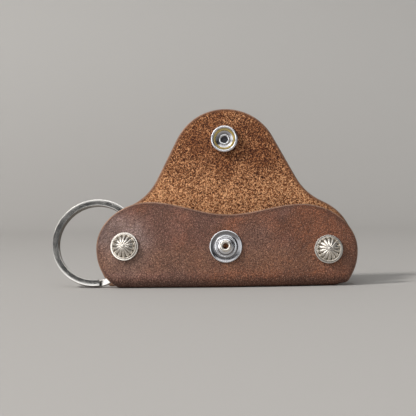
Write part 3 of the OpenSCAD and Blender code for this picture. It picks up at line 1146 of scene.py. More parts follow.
@dataclass
class Hide:
    """The one piece of leather: front panel, fold, back panel and flap."""

    PATTERN_MAP = "pattern"
    PATTERN_SPAN = 100.0
    BORDER = "border"
    CREASE = "crease"

    grid: float = 0.9
    row_pitch: float = 0.866
    border_clear: float = 0.55
    hole_clear: float = 0.4
    hole_inside: float = 0.99
    same_point: float = 1e-7
    pace: float = 0.55
    edge_round: float = 0.75
    edge_steps: int = 5
    corner_passes: int = 5
    bend_clear: float = 0.3
    foot_steps: int = 8
    slot_low: float = -5.1
    slot_high: float = 2.7
    slot_steps: int = 19
    slot_corner: float = 0.12
    slot_least: float = 0.4
    post_hole_r: float = 1.75
    stud_hole_r: float = 1.6
    socket_hole_r: float = 1.9
    wander: float = 0.16
    waves: tuple[Wave, ...] = (Wave(17, 15, 3.1, 1.0), Wave(7, 8, 9.7, 0.5))
    calm_r: float = 7.5
    calm_foot: float = 9.0
    calm_fade: float = 6.0
    crease_at: float = 59.0
    crease_bow: float = 0.008
    crease_width: float = 6.5
    bend_from: float = 0.0246
    bend_to: float = 0.0440
    holes: list[Hole] = field(init=False)

    def __post_init__(self) -> None:
        """Places the holes for the posts and the ring snap."""
        self.holes = []
        for side in Side:
            x, z = OUTLINE.post(side)
            self.holes += [Hole(x, FOLD.run(z, back), self.post_hole_r) for back in (False, True)]
        for (x, z), back, radius in ((OUTLINE.stud(), False, self.stud_hole_r),
                                     (OUTLINE.socket(), True, self.socket_hole_r)):
            self.holes.append(Hole(x, FOLD.run(z, back), radius))

    def border(self) -> np.ndarray:
        """Outline of the flat pattern, anticlockwise, as places across and along the hide."""
        over = self.panel(Side.RIGHT, True) + self.panel(Side.LEFT, True)[::-1]
        under = self.panel(Side.LEFT, False) + self.panel(Side.RIGHT, False)[::-1]
        points = self.end(Side.RIGHT) + over + self.end(Side.LEFT)[::-1] + under
        return self.smoothed(self.paced(np.array(points)))

    def panel(self, side: Side, back: bool) -> Profile:
        """Half of a panel's edge, on its straight part.

        Args:
            side: which half.
            back: whether it is the back panel.

        Returns:
            Its places across and along the hide.
        """
        outline = OUTLINE.back(side) if back else OUTLINE.front(side)
        floor = FOLD.knee(back) + self.bend_clear
        return [(x, FOLD.run(z, back)) for x, z in outline if z > floor]

    def end(self, side: Side) -> Profile:
        """Edge of the fold's end, round the slot that lets the ring pass.

        Args:
            side: which end.

        Returns:
            Its places across and along the hide, from the front panel to the back one.
        """
        feet = {back: np.array(outline(side)[:CURVE_STEPS + 1])
                for back, outline in ((False, OUTLINE.front), (True, OUTLINE.back))}

        def reach(run: float) -> float:
            """Distance of the edge from the middle, at a way along the hide."""
            foot = feet[run >= 0]
            return float(np.interp(FOLD.height(run), foot[:, 1], abs(foot[:, 0])))

        low, high = self.slot_low, self.slot_high
        start = OUTLINE.half - OUTLINE.foot_inset + OUTLINE.notch_start + OUTLINE.notch_r
        points = [(reach(run), run) for run in np.linspace(-FOLD.straight(False), low, self.foot_steps)]
        for a in np.linspace(self.slot_corner, math.pi - self.slot_corner, self.slot_steps):
            run = (low + high) / 2 - (high - low) / 2 * math.cos(a)
            points.append((min(start - OUTLINE.notch_r * math.sin(a), reach(run) - self.slot_least), run))
        points += [(reach(run), run) for run in np.linspace(high, FOLD.straight(True), self.foot_steps)]
        return [(side.value * x, float(run)) for x, run in points]

    def paced(self, points: np.ndarray) -> np.ndarray:
        """Places points at an even pace round a closed line.

        Args:
            points: the line's points.

        Returns:
            The new points.
        """
        ring = np.vstack([points, points[:1]])
        step = np.hypot(*np.diff(ring, axis=0).T)
        keep = np.append(True, step > TINY)
        way = np.append(0, np.cumsum(step))[keep]
        count = int(round(way[-1] / self.pace))
        at = np.linspace(0, way[-1], count, endpoint=False)
        return np.column_stack([np.interp(at, way, ring[keep][:, k]) for k in range(2)])

    def smoothed(self, points: np.ndarray) -> np.ndarray:
        """Rounds the corners of a closed line a little.

        Args:
            points: the line's points.

        Returns:
            The points in their new places.
        """
        for _ in range(self.corner_passes):
            points = points * 0.5 + (np.roll(points, 1, 0) + np.roll(points, -1, 0)) * 0.25
        return points

    def rings(self, border: np.ndarray) -> list[tuple[np.ndarray, float]]:
        """Border lines of the rounded edge.

        Args:
            border: outline of the pattern.

        Returns:
            The lines from the edge's waist inwards, with each one's drop from the face.
        """
        ahead = np.roll(border, -1, 0) - np.roll(border, 1, 0)
        inward = np.column_stack([-ahead[:, 1], ahead[:, 0]]) / np.hypot(*ahead.T)[:, None]
        angles = [math.pi / 2 * i / self.edge_steps for i in range(self.edge_steps + 1)]
        return [(border + inward * self.edge_round * (1 - math.cos(a)), self.edge_round * (1 - math.sin(a)))
                for a in angles]

    def grown(self, rim: np.ndarray) -> np.ndarray:
        """Inner points of the pattern, on a staggered grid.

        Args:
            rim: the innermost border line.

        Returns:
            The points, clear of the border and the holes.
        """
        low, high = rim.min(0), rim.max(0)
        rows = []
        for k, run in enumerate(np.arange(low[1], high[1], self.grid * self.row_pitch)):
            x = np.arange(low[0] + (k % 2) * self.grid / 2, high[0], self.grid)
            rows.append(np.column_stack([x, np.full_like(x, run)]))
        points = np.vstack(rows)
        inside = np.zeros(len(points), bool)
        for a, b in zip(rim, np.roll(rim, -1, 0)):
            cross = (a[1] > points[:, 1]) != (b[1] > points[:, 1])
            if cross.any():
                x = (b[0] - a[0]) * (points[cross, 1] - a[1]) / (b[1] - a[1]) + a[0]
                inside[cross] ^= points[cross, 0] < x
        points = points[inside]
        near = np.full(len(points), np.inf)
        for a in rim:
            near = np.minimum(near, np.hypot(*(points - a).T))
        clear = near > self.grid * self.border_clear
        for hole in self.holes:
            away = np.hypot(points[:, 0] - hole.x, points[:, 1] - hole.run)
            clear &= away > hole.radius + self.grid * self.hole_clear
        return points[clear]

    def sway(self, x: float, run: float) -> float:
        """Slight waviness of worn leather, flat under the fittings and at the foot.

        Args:
            x: place across the hide.
            run: way along it.

        Returns:
            The lift, in millimetres.
        """
        soft = sum(wave.strength * noise.noise(Vector((x / wave.across, run / wave.along, wave.place)))
                   for wave in self.waves)
        calm = min(held((hole.off(x, run) - self.calm_r) / self.calm_fade) for hole in self.holes)
        return self.wander * soft * calm * held((abs(run) - self.calm_foot) / self.calm_fade)

    def flat(self) -> FlatPattern:
        """Cuts the flat pattern and divides it into triangles.

        Returns:
            The pattern.

        Raises:
            ValueError: if lines of its border or holes cross.
        """
        lines = self.rings(self.border())
        rim = lines[-1][0]
        closed = [rim, *(hole.line() for hole in self.holes)]
        points = np.vstack([*closed, self.grown(rim)])
        edges: list[tuple[int, int]] = []
        start = 0
        for line in closed:
            edges += [(start + i, start + j) for i, j in around(len(line))]
            start += len(line)
        verts, _, faces, *_ = delaunay_2d_cdt([Vector(p) for p in points], edges, [], 1, self.same_point)
        if len(verts) != len(points):
            raise ValueError("the pattern's borders cross")
        at = np.array(verts)
        middles = [at[list(face)].mean(0) for face in faces]
        kept = [face for face, (x, run) in zip(faces, middles)
                if all(hole.off(x, run) > hole.radius * self.hole_inside for hole in self.holes)]
        return FlatPattern(lines, points, kept)

    def make(self) -> bpy.types.Object:
        """Lays the flat pattern on both sides of the folded hide, and dresses it.

        Returns:
            The hide.
        """
        flat = self.flat()
        mesh = bmesh.new()
        pattern = mesh.loops.layers.uv.new(self.PATTERN_MAP)
        places: dict[Vert, Point] = {}
        outer, inner = (self.sheet(mesh, flat, sign, layer, places)
                        for sign, layer in ((1, Layer.GRAIN), (-1, Layer.FLESH)))
        edge = strip(mesh, inner[0], outer[0])
        for k in range(len(self.holes)):
            hole = slice(flat.count + k * Hole.POINTS, flat.count + (k + 1) * Hole.POINTS)
            edge += strip(mesh, outer[1][hole], inner[1][hole])
        self.dress(edge, Layer.EDGE)
        for made in mesh.faces:
            for loop in made.loops:
                x, run = places[loop.vert]
                loop[pattern].uv = (x / self.PATTERN_SPAN, run / self.PATTERN_SPAN)
        bmesh.ops.recalc_face_normals(mesh, faces=mesh.faces)
        hide = meshed("hide", mesh)
        for finish in (GrainFinish(), FleshFinish(), EdgeFinish()):
            hide.data.materials.append(finish.make())
        return hide

    def sheet(self, mesh: bmesh.types.BMesh, flat: FlatPattern, sign: int, layer: Layer,
              places: dict[Vert, Point]) -> tuple[list[Vert], list[Vert]]:
        """Builds one side of the hide with its half of the rounded edge.

        Args:
            mesh: the mesh that it goes in.
            flat: the flat pattern.
            sign: 1 for the grain side, -1 for the flesh side.
            layer: its layer.
            places: takes each point's place on the pattern.

        Returns:
            The points of the edge's waist, and those of the face.
        """
        layers = mesh.verts.layers.float
        border_at = layers.get(self.BORDER) or layers.new(self.BORDER)
        crease_at = layers.get(self.CREASE) or layers.new(self.CREASE)
        rim, half = flat.lines[0][0], FOLD.thickness / 2

        def point(at: np.ndarray, lift: float, way: float) -> Vert:
            """Adds a point of the hide.

            Args:
                at: its place on the pattern.
                lift: its height out of the hide's middle.
                way: its way from the border.

            Returns:
                The point.
            """
            x, run = float(at[0]), float(at[1])
            vert = mesh.verts.new(FOLD.place(x, run, lift + self.sway(x, run)))
            vert[border_at] = way
            vert[crease_at] = math.exp(
                -((run - self.crease_at - self.crease_bow * x * x) / self.crease_width) ** 2)
            places[vert] = (x, run)
            return vert

        stack = [[point(at, sign * (half - drop), 0.0) for at in line] for line, drop in flat.lines[:-1]]
        ways = [self.edge_round] * flat.count
        ways += [float(np.min(np.hypot(*(rim - at).T))) for at in flat.points[flat.count:]]
        face = [point(at, sign * half, way) for at, way in zip(flat.points, ways)]
        stack.append(face[:flat.count])
        self.dress([mesh.faces.new([face[i] for i in corners[::sign]]) for corners in flat.faces], layer)
        for pair in zip(stack, stack[1:]):
            self.dress(strip(mesh, *pair[::sign]), layer if pair[1] is stack[-1] else Layer.EDGE)
        return stack[0], face

    @staticmethod
    def dress(faces: Sequence[bmesh.types.BMFace], layer: Layer) -> None:
        """Gives faces a layer of the hide and smooth shading.

        Args:
            faces: the faces.
            layer: the layer.
        """
        for face in faces:
            face.material_index = layer.value
            face.smooth = True

    def join(self, hide: bpy.types.Object) -> None:
        """Bends the finished hide from the case to the flap.

        Args:
            hide: the hide.
        """
        slope = math.sqrt(0.5)
        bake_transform(hide, "case", "flap", (0, self.bend_from * slope, self.bend_from * slope),
                 (0, self.bend_to * slope, self.bend_to * slope))
        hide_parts("case_hide", "flap_hide")


# --------------------------------------------------------------- the fittings


def rounded(points: Profile, radius: float, steps: int = 4, closed: bool = False) -> Profile:
    """Rounds the corners of a profile.

    Args:
        points: its corners.
        radius: radius of the rounding, less where a side is short.
        steps: points per corner.
        closed: whether the last corner joins the first.

    Returns:
        The rounded profile.
    """
    made: Profile = []
    for i, p in enumerate(points):
        if not closed and i in (0, len(points) - 1):
            made.append(p)
            continue
        here = Vector(p)
        before, after = Vector(points[i - 1]) - here, Vector(points[(i + 1) % len(points)]) - here
        cut = min(radius, before.length * MOST_CUT, after.length * MOST_CUT)
        start, end = here + before.normalized() * cut, here + after.normalized() * cut
        for k in range(steps + 1):
            t = k / steps
            made.append(tuple(start.lerp(here, t).lerp(here.lerp(end, t), t)))
    return made


@dataclass
class Fitting:
    """A metal piece that stands on the hide.

    Attributes:
        name: its name.
        seat: its frame.
        finish: its metal.
        body: the body that it rides on.
        replaced: nodes that it stands for.
        segments: faces round it.
    """

    # Name of the value kept on a fitting's points for its painted shade and painted dark reflection.
    SHADE_LAYER = "hollow"

    name: str
    seat: Matrix
    finish: MetalFinish
    body: str
    replaced: tuple[str, ...]
    segments: int = 96

    @property
    def slot(self) -> str:
        """Material slot that its finish stands for."""
        return self.finish.slot

    def lathe(self, profile: Profile, hollow: PaintedShade | None = None) -> bmesh.types.BMesh:
        """Turns a closed profile about the fitting's axis.

        Args:
            profile: radius and height of each corner, in millimetres, anticlockwise from the axis.
            hollow: painted shade or painted dark reflection of a place of the profile, from 0 to 1.

        Returns:
            The mesh.
        """
        mesh = bmesh.new()
        layer = mesh.verts.layers.float.new(self.SHADE_LAYER)
        rows: list[list[Vert]] = []
        for radius, height in profile:
            angles = [2 * math.pi * k / self.segments for k in range(1 if radius < TINY else self.segments)]
            rows.append([mesh.verts.new(spun(radius, a, height)) for a in angles])
            for vert in rows[-1]:
                vert[layer] = hollow(radius, height) if hollow else 0.0
        for low, high in zip(rows, rows[1:] + rows[:1]):
            strip(mesh, low, high)
        return mesh

    def finished(self, mesh: bmesh.types.BMesh, sharp: float = 38.0) -> bpy.types.Object:
        """Turns a mesh into the dressed piece, on its seat and riding on its body.

        Args:
            mesh: the mesh, in the seat's frame.
            sharp: angle of the edges that stay sharp, in degrees.

        Returns:
            The piece.
        """
        bmesh.ops.recalc_face_normals(mesh, faces=mesh.faces)
        for made in mesh.faces:
            made.smooth = True
        piece = meshed(self.name, mesh)
        piece.data.set_sharp_from_angle(angle=math.radians(sharp))
        piece.data.materials.append(self.finish.material())
        piece.matrix_world = self.seat
        bpy.context.view_layer.update()
        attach(piece, self.body)
        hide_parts(*self.replaced)
        self.slot
        return piece


@dataclass
class ConchoPost:
    """One end of the case: sunburst concho, flanged post and back screw."""

    side: Side
    seat_gap: float = 0.06
    flange_d: float = 11.5
    flange_t: float = 0.8
    # Width of the painted shadow round the concho on the flange's face.
    flange_shade: float = 0.12
    shade_step: float = 0.02
    flange_round: float = 0.3
    post_d: float = 3.4
    post_short: float = 0.05
    bore_d: float = 2.5
    screw_d: float = 2.4
    screw_l: float = 6.0
    concho_d: float = 10.2
    concho_gap: float = 0.05
    concho_rows: int = 78
    ray_columns: int = 18
    rim_t: float = 0.9
    sunburst_d: float = 8.8
    dome_h: float = 2.7
    dome_foot: float = 0.8
    dome_power: float = 2.6
    boss_d: float = 1.5
    boss_h: float = 0.34
    boss_sunk: float = 0.04
    boss_ring: float = 1.25
    # Painted shade round the boss, partly patina.
    boss_shade: float = 0.5
    bead_r: float = 0.22
    bead_deep: float = 0.38
    # Painted shade on the bead's inner slope, partly patina.
    bead_shade: float = 1.5
    bead_shade_from: float = 0.6
    groove_floor: float = 0.3
    rays: int = 14
    ray_round: float = 0.06
    ray_round_power: float = 2.2
    ray_start: float = 0.45
    ray_full: float = 0.6
    ray_deep: float = 0.36
    ray_grow: float = 0.8
    ray_drop: float = 0.5
    ray_drop_from: float = 0.9
    # Painted shade between the rays, partly patina.
    ray_shade: float = 0.95
    head_d: float = 9.0
    head_t: float = 1.2
    head_side: float = 0.55
    head_top: float = 0.8
    head_round: float = 0.35
    slot_w: float = 1.0
    slot_deep: float = 0.6
    cutter_h: float = 2.0

    @property
    def flange_shadow_r(self) -> float:
        """Radius of the painted shadow on the flange's face, just outside the concho."""
        return self.concho_d / 2 + self.flange_shade

    def fitting(self, name: str, depth: float, node: str) -> Fitting:
        """A metal piece on this end's axis.

        Args:
            name: its name without the side.
            depth: its depth in the section.
            node: the node that it stands for, without the side.

        Returns:
            The fitting.
        """
        side = self.side.name.lower()
        return Fitting(f"{side}_{name}", FOLD.seat(OUTLINE.post(self.side), depth), NICKEL, "case",
                       (f"{side}_{node}",))

    def make_post(self) -> bpy.types.Object:
        """Builds the wide flange on the front panel with the barrel behind it.

        Returns:
            The piece.
        """
        grip = FOLD.depth(True) - FOLD.depth(False) + FOLD.thickness
        end, r, bore = self.post_short - grip - self.seat_gap, self.post_d / 2, self.bore_d / 2
        edge, top = self.flange_d / 2, self.flange_t
        # The flange's face is painted dark under the concho and just outside it, as the concho's shadow.
        dark = self.flange_shadow_r
        profile = rounded([(0, end + self.screw_l), (bore, end + self.screw_l), (bore, end), (r, end), (r, 0),
                           (edge, 0), (edge, top)], self.flange_round)
        profile = profile[:-1] + rounded([(edge, top / 2), (edge, top), (dark, top)], self.flange_round)
        profile += [(dark - self.shade_step, top), (0, top)]
        post = self.fitting("flanged_post", FOLD.face(False, self.seat_gap), "post")
        return post.finished(post.lathe(profile, self.post_hollow))

    def post_hollow(self, radius: float, height: float) -> float:
        """Painted shade on the post: its face is painted dark under the concho and just outside it, as the
        concho's shadow.
        """
        return 1.0 if radius < self.flange_shadow_r - self.shade_step / 2 and height > 0 else 0.0

    def make_concho(self) -> bpy.types.Object:
        """Builds the concho: smooth bead, groove, and a dome of fluted rays with round ends.

        Returns:
            The piece.
        """
        seat = FOLD.face(False, self.seat_gap) - self.flange_t - self.concho_gap
        mesh = bmesh.new()
        layer = mesh.verts.layers.float.new(Fitting.SHADE_LAYER)
        columns, edge = self.rays * self.ray_columns, self.concho_d / 2
        angles = [2 * math.pi * k / columns for k in range(columns)]
        base = [mesh.verts.new(spun(edge, a, 0)) for a in angles]
        rows = [[mesh.verts.new(spun(0, 0, self.relief(0, 0)[0]))]]
        for radius in [edge * i / self.concho_rows for i in range(1, self.concho_rows + 1)]:
            rows.append([])
            for a in angles:
                height, hollow = self.relief(radius, a)
                rows[-1].append(mesh.verts.new(spun(radius, a, height)))
                rows[-1][-1][layer] = hollow
        for inner, outer in zip(rows, rows[1:] + [base]):
            strip(mesh, inner, outer)
        mesh.faces.new(base)
        return self.fitting("sunburst_concho", seat, "concho").finished(mesh, 60)

    def bead(self, radius: float) -> tuple[float, float]:
        """Smooth bead round the concho, and its slope down to the groove.

        Args:
            radius: distance from the concho's middle, in millimetres.

        Returns:
            Its height in millimetres, and how far down the slope the place is.
        """
        crest = self.concho_d / 2 - self.bead_r
        slope = (crest - radius) / (crest - self.sunburst_d / 2 + self.bead_r / 2)
        if radius > crest:
            drop = self.bead_r - math.sqrt(max(0.0, self.bead_r ** 2 - (radius - crest) ** 2))
        elif slope > 1:
            drop = self.rim_t
        else:
            drop = self.bead_deep * (0.5 - 0.5 * math.cos(math.pi * slope))
        return self.rim_t - drop, slope

    def relief(self, radius: float, angle: float) -> tuple[float, float]:
        """Height of the concho's face and its painted shade there.

        Args:
            radius: distance from its middle, in millimetres.
            angle: angle about its middle.

        Returns:
            Height in millimetres, and painted shade from 0 to 1.
        """
        sun, start, floor = self.sunburst_d / 2, self.boss_d / 2, self.rim_t * self.groove_floor
        across = abs(2 * ((angle * self.rays / (2 * math.pi)) % 1.0) - 1)
        end = sun * (1.0 - self.ray_round * across ** self.ray_round_power)
        share = min(1.0, radius / end)
        foot = self.rim_t * self.dome_foot
        dome = foot + (self.dome_h - foot) * (1 - share ** self.dome_power)
        grow = held((radius - self.boss_d * self.ray_start) / (sun * self.ray_full))
        flute = self.ray_deep * grow ** self.ray_grow * across ** 2
        fall = self.ray_drop * max(0.0, (share - self.ray_drop_from) / (1 - self.ray_drop_from)) ** 2
        # Painted shade between the rays and in the groove below their ends, partly patina.
        height, hollow = dome - flute - fall, grow * across ** 4 * self.ray_shade
        if radius >= end:
            height, hollow = floor, 1.0
        if radius < start:
            boss = self.boss_h * math.sqrt(max(0.0, 1 - (radius / start) ** 2))
            height, hollow = max(height, dome - self.boss_sunk + boss), 0.0
        elif radius < start * self.boss_ring:
            hollow = max(hollow, self.boss_shade)
        rim, slope = self.bead(radius)
        # Painted shade on the bead's inner slope down to the groove, partly patina.
        if rim > height:
            height, hollow = rim, max(0.0, min(1.0, slope) - self.bead_shade_from) * self.bead_shade
        return max(height, floor), hollow

    def make_screw(self) -> bpy.types.Object:
        """Builds the slotted screw behind the back panel.

        Returns:
            The piece.
        """
        screw = self.fitting("back_slotted_screw", FOLD.face(True, self.seat_gap), "back_screw")
        screw.seat = screw.seat @ Matrix.Rotation(math.pi, 4, "X")
        r, shank, top = self.head_d / 2, self.screw_d / 2, self.head_t
        profile = rounded([(0, -self.screw_l), (shank, -self.screw_l), (shank, 0), (r, 0),
                           (r, top * self.head_side), (r * self.head_top, top), (0, top)], self.head_round)
        piece = screw.finished(screw.lathe(profile))
        cutter = bmesh.new()
        bmesh.ops.create_cube(cutter, size=1.0)
        low = top - self.slot_deep
        for vert in cutter.verts:
            x, y, z = vert.co
            up = low + self.cutter_h / 2 + z * self.cutter_h
            vert.co = Vector((x * self.head_d * 2, y * self.slot_w, up)) * MM
        tool = meshed("slot", cutter)
        tool.matrix_world = screw.seat
        cut = piece.modifiers.new("slot", "BOOLEAN")
        cut.object, cut.operation, cut.solver = tool, "DIFFERENCE", "EXACT"
        applied(piece)
        bpy.data.objects.remove(tool)
        return piece


def applied(piece: bpy.types.Object) -> None:
    """Turns a piece's modifiers into its mesh.

    Args:
        piece: the piece.
    """
    bpy.context.view_layer.update()
    ready = piece.evaluated_get(bpy.context.evaluated_depsgraph_get())
    made = bpy.data.meshes.new_from_object(ready)
    piece.modifiers.clear()
    piece.data = made


@dataclass
class RingSnap:
    """The ring snap: stud and its eyelet on the front panel, socket, spring ring and cap on the flap."""

    seat_gap: float = 0.06
    fit_gap: float = 0.05
    segments: int = 128
    sharp: float = 50.0
    wall: float = 0.4
    flat_roll: float = 0.7
    roll_steps: int = 16
    eyelet_wall: float = 0.45
    stud_d: float = 13.2
    stud_t: float = 0.5
    collar_d: float = 9.2
    collar_h: float = 1.0
    nub_d: float = 6.4
    nub_h: float = 2.5
    stud_roll_d: float = 4.8
    stud_bore_d: float = 2.2
    eyelet_d: float = 8.4
    stud_round: float = 0.28
    eyelet_round: float = 0.15
    # Painted shade at the nub's waist, and a painted dark reflection in the flange's dish.
    waist_shade: float = 0.66
    dish_painted_reflection: float = 0.62
    socket_d: float = 11.3
    socket_h: float = 2.9
    socket_wall: float = 0.5
    cup_round: float = 0.2
    funnel_round: float = 0.12
    spring_round: float = 0.14
    spring_d: float = 7.0
    mouth_d: float = 8.8
    socket_roll_d: float = 4.7
    socket_bore_d: float = 2.9
    # Painted shade at the socket's bottom and, less, on its funnel.
    bottom_shade: float = 0.62
    funnel_shade: float = 0.25
    cap_d: float = 12.6
    cap_h: float = 1.9
    cap_steps: int = 30
    # Painted shade in the bore of the cap's tube.
    bore_shade: float = 0.82

    @property
    def flesh_face(self) -> float:
        """Depth of a seat on the flap's flesh side."""
        return FOLD.depth(True) - FOLD.thickness / 2 - self.seat_gap

    def fitting(self, name: str, on_flap: bool, depth: float, finish: MetalFinish, node: str) -> Fitting:
        """A metal piece on the axis of the stud or of the socket.

        Args:
            name: its name.
            on_flap: whether it is on the flap, with the socket.
            depth: its depth in the section.
            finish: its metal.
            node: the node that it stands for.

        Returns:
            The fitting.
        """
        place, body = (OUTLINE.socket(), "flap") if on_flap else (OUTLINE.stud(), "case")
        return Fitting(name, FOLD.seat(place, depth), finish, body, (node,), self.segments)

    def rolled(self, tube_d: float, bore_d: float, base: float) -> Profile:
        """Top of a tube that is rolled over and pressed a little flat.

        Args:
            tube_d: diameter over the roll.
            bore_d: diameter of the tube's bore.
            base: height where the roll starts.

        Returns:
            Its profile, from outside inwards.
        """
        roll = (tube_d / 2 - bore_d / 2) / 2
        return [(x, base + self.flat_roll * (z - base))
                for x, z in arc((tube_d / 2 - roll, base), roll, 0, 180, self.roll_steps)]

    def make_stud(self) -> bpy.types.Object:
        """Builds the dished stud: a flange with a turned-up rim, a collar and a bulged nub.

        Returns:
            The piece.
        """
        bore, edge = self.stud_bore_d / 2 + self.eyelet_wall, self.stud_d / 2
        collar, nub = self.collar_d / 2, self.nub_d / 2
        profile = rounded([(bore, 0), (edge - 0.5, 0), (edge, 0.25), (edge - 0.05, 0.62), (edge - 0.35, 0.74),
                           (edge - 0.85, 0.55), (collar + 0.25, 0.34), (collar - 0.02, self.stud_t),
                           (collar - 0.1, self.collar_h), (collar - 0.45, 1.16), (nub + 0.45, 0.98),
                           (nub - 0.12, 0.86), (nub - 0.22, 1.3), (nub + 0.02, 1.75), (nub - 0.05, 2.2),
                           (nub - 0.55, self.nub_h), (bore, self.nub_h)], self.stud_round, 5, True)
        stud = self.fitting("dished_stud", False, FOLD.face(False, self.seat_gap), BRIGHT, "snap_stud")
        return stud.finished(stud.lathe(profile, self.stud_hollow), self.sharp)

    def stud_hollow(self, radius: float, height: float) -> float:
        """Painted shade on the stud: a painted dark reflection in its flange's dish, and painted shade at the
        waist of its nub.

        Args:
            radius: distance from the stud's axis.
            height: height over its seat.

        Returns:
            Painted shade from 0 to 1.
        """
        waist = abs(radius - self.nub_d / 2) < 0.25 and height < 1.2
        dish = self.collar_d / 2 - 0.1 < radius < self.stud_d / 2 - 0.3 and height < 0.7
        return self.waist_shade if waist else self.dish_painted_reflection if dish else 0.0

    def make_eyelet(self) -> bpy.types.Object:
        """Builds the eyelet: a flange inside the pocket and a tube rolled over the nub.

        Returns:
            The piece.
        """
        bore, edge, top = self.stud_bore_d / 2, self.eyelet_d / 2, self.nub_h + self.fit_gap
        inside = -FOLD.thickness - 2 * self.seat_gap
        profile = rounded([(bore, inside - self.wall), (edge, inside - self.wall), (edge, inside),
                           (bore + self.wall, inside), (bore + self.wall, top)], self.eyelet_round)
        profile += self.rolled(self.stud_roll_d, self.stud_bore_d, top)
        face = FOLD.face(False, self.seat_gap)
        tube = self.fitting("stud_rolled_eyelet", False, face, NICKEL, "stud_eyelet")
        return tube.finished(tube.lathe(profile), self.sharp)

    def make_socket(self) -> bpy.types.Object:
        """Builds the socket: a cup with a rolled lip and a funnel inside.

        Returns:
            The piece.
        """
        bore, edge, mouth = self.socket_bore_d / 2 + self.eyelet_wall, self.socket_d / 2, self.mouth_d / 2
        lip, wall = (edge - mouth) / 2, edge - self.socket_wall
        profile = rounded([(bore, 0), (edge - 0.35, 0), (edge, 0.3), (edge, self.socket_h - lip)],
                          self.cup_round)
        profile += arc((edge - lip, self.socket_h - lip), lip, 0, 180, self.roll_steps)
        profile += rounded([(mouth, self.socket_h - 0.7), (wall, self.socket_h - 0.7), (wall, 1.15),
                            (self.spring_d / 2 + 0.25, 1.25), (bore + 0.65, 0.7), (bore, 0.6)],
                           self.funnel_round)
        socket = self.fitting("rolled_socket", True, self.flesh_face, BRIGHT, "snap_socket")
        return socket.finished(socket.lathe(profile, self.socket_hollow), self.sharp)

    def socket_hollow(self, radius: float, height: float) -> float:
        """Painted shade in the socket: dark at its bottom, and a little on its funnel.

        Args:
            radius: distance from the socket's axis.
            height: height over its seat.

        Returns:
            Painted shade from 0 to 1.
        """
        bottom = radius < self.socket_bore_d / 2 + self.eyelet_wall + 0.9 and height < 0.9
        funnel = radius < self.mouth_d / 2 - 0.3 and height < 1.3
        return self.bottom_shade if bottom else self.funnel_shade if funnel else 0.0

    def make_spring(self) -> bpy.types.Object:
        """Builds the spring ring under the socket's lip.

        Returns:
            The piece.
        """
        outer, inner = self.socket_d / 2 - self.socket_wall - self.fit_gap, self.spring_d / 2
        top = self.socket_h - 0.75
        profile = rounded([(inner, top - 0.65), (outer, top - 0.9), (outer, top), (inner + 0.25, top),
                           (inner, top - 0.25)], self.spring_round, 4, True)
        spring = self.fitting("brass_spring", True, self.flesh_face, BRASS, "socket_spring")
        return spring.finished(spring.lathe(profile), self.sharp)

    def make_cap(self) -> bpy.types.Object:
        """Builds the cap: a dome outside the flap, and a tube rolled over inside the socket.

        Returns:
            The piece.
        """
        radius, bore = self.cap_d / 2, self.socket_bore_d / 2
        sphere = (radius ** 2 + self.cap_h ** 2) / (2 * self.cap_h)
        slope = math.degrees(math.asin(radius / sphere))
        top = FOLD.thickness + 2 * self.seat_gap + self.socket_wall + self.fit_gap
        profile = arc((0, sphere - self.cap_h), sphere, -90, -90 + slope, self.cap_steps)
        profile += [(radius + 0.02, 0.02), (radius - 0.2, 0.04), (bore + self.wall, 0.04),
                    (bore + self.wall, top)]
        profile += self.rolled(self.socket_roll_d, self.socket_bore_d, top)
        profile += [(bore, -self.cap_h / 2), (0, -self.cap_h / 2)]
        cap = self.fitting("domed_cap", True, FOLD.face(True, self.seat_gap), BRIGHT, "snap_cap")
        return cap.finished(cap.lathe(profile, self.cap_hollow), self.sharp)

    def cap_hollow(self, radius: float, height: float) -> float:
        """Painted shade on the cap: its tube's bore is painted dark."""
        return self.bore_shade if radius < self.socket_bore_d / 2 + 0.1 and abs(height) < 1.2 else 0.0


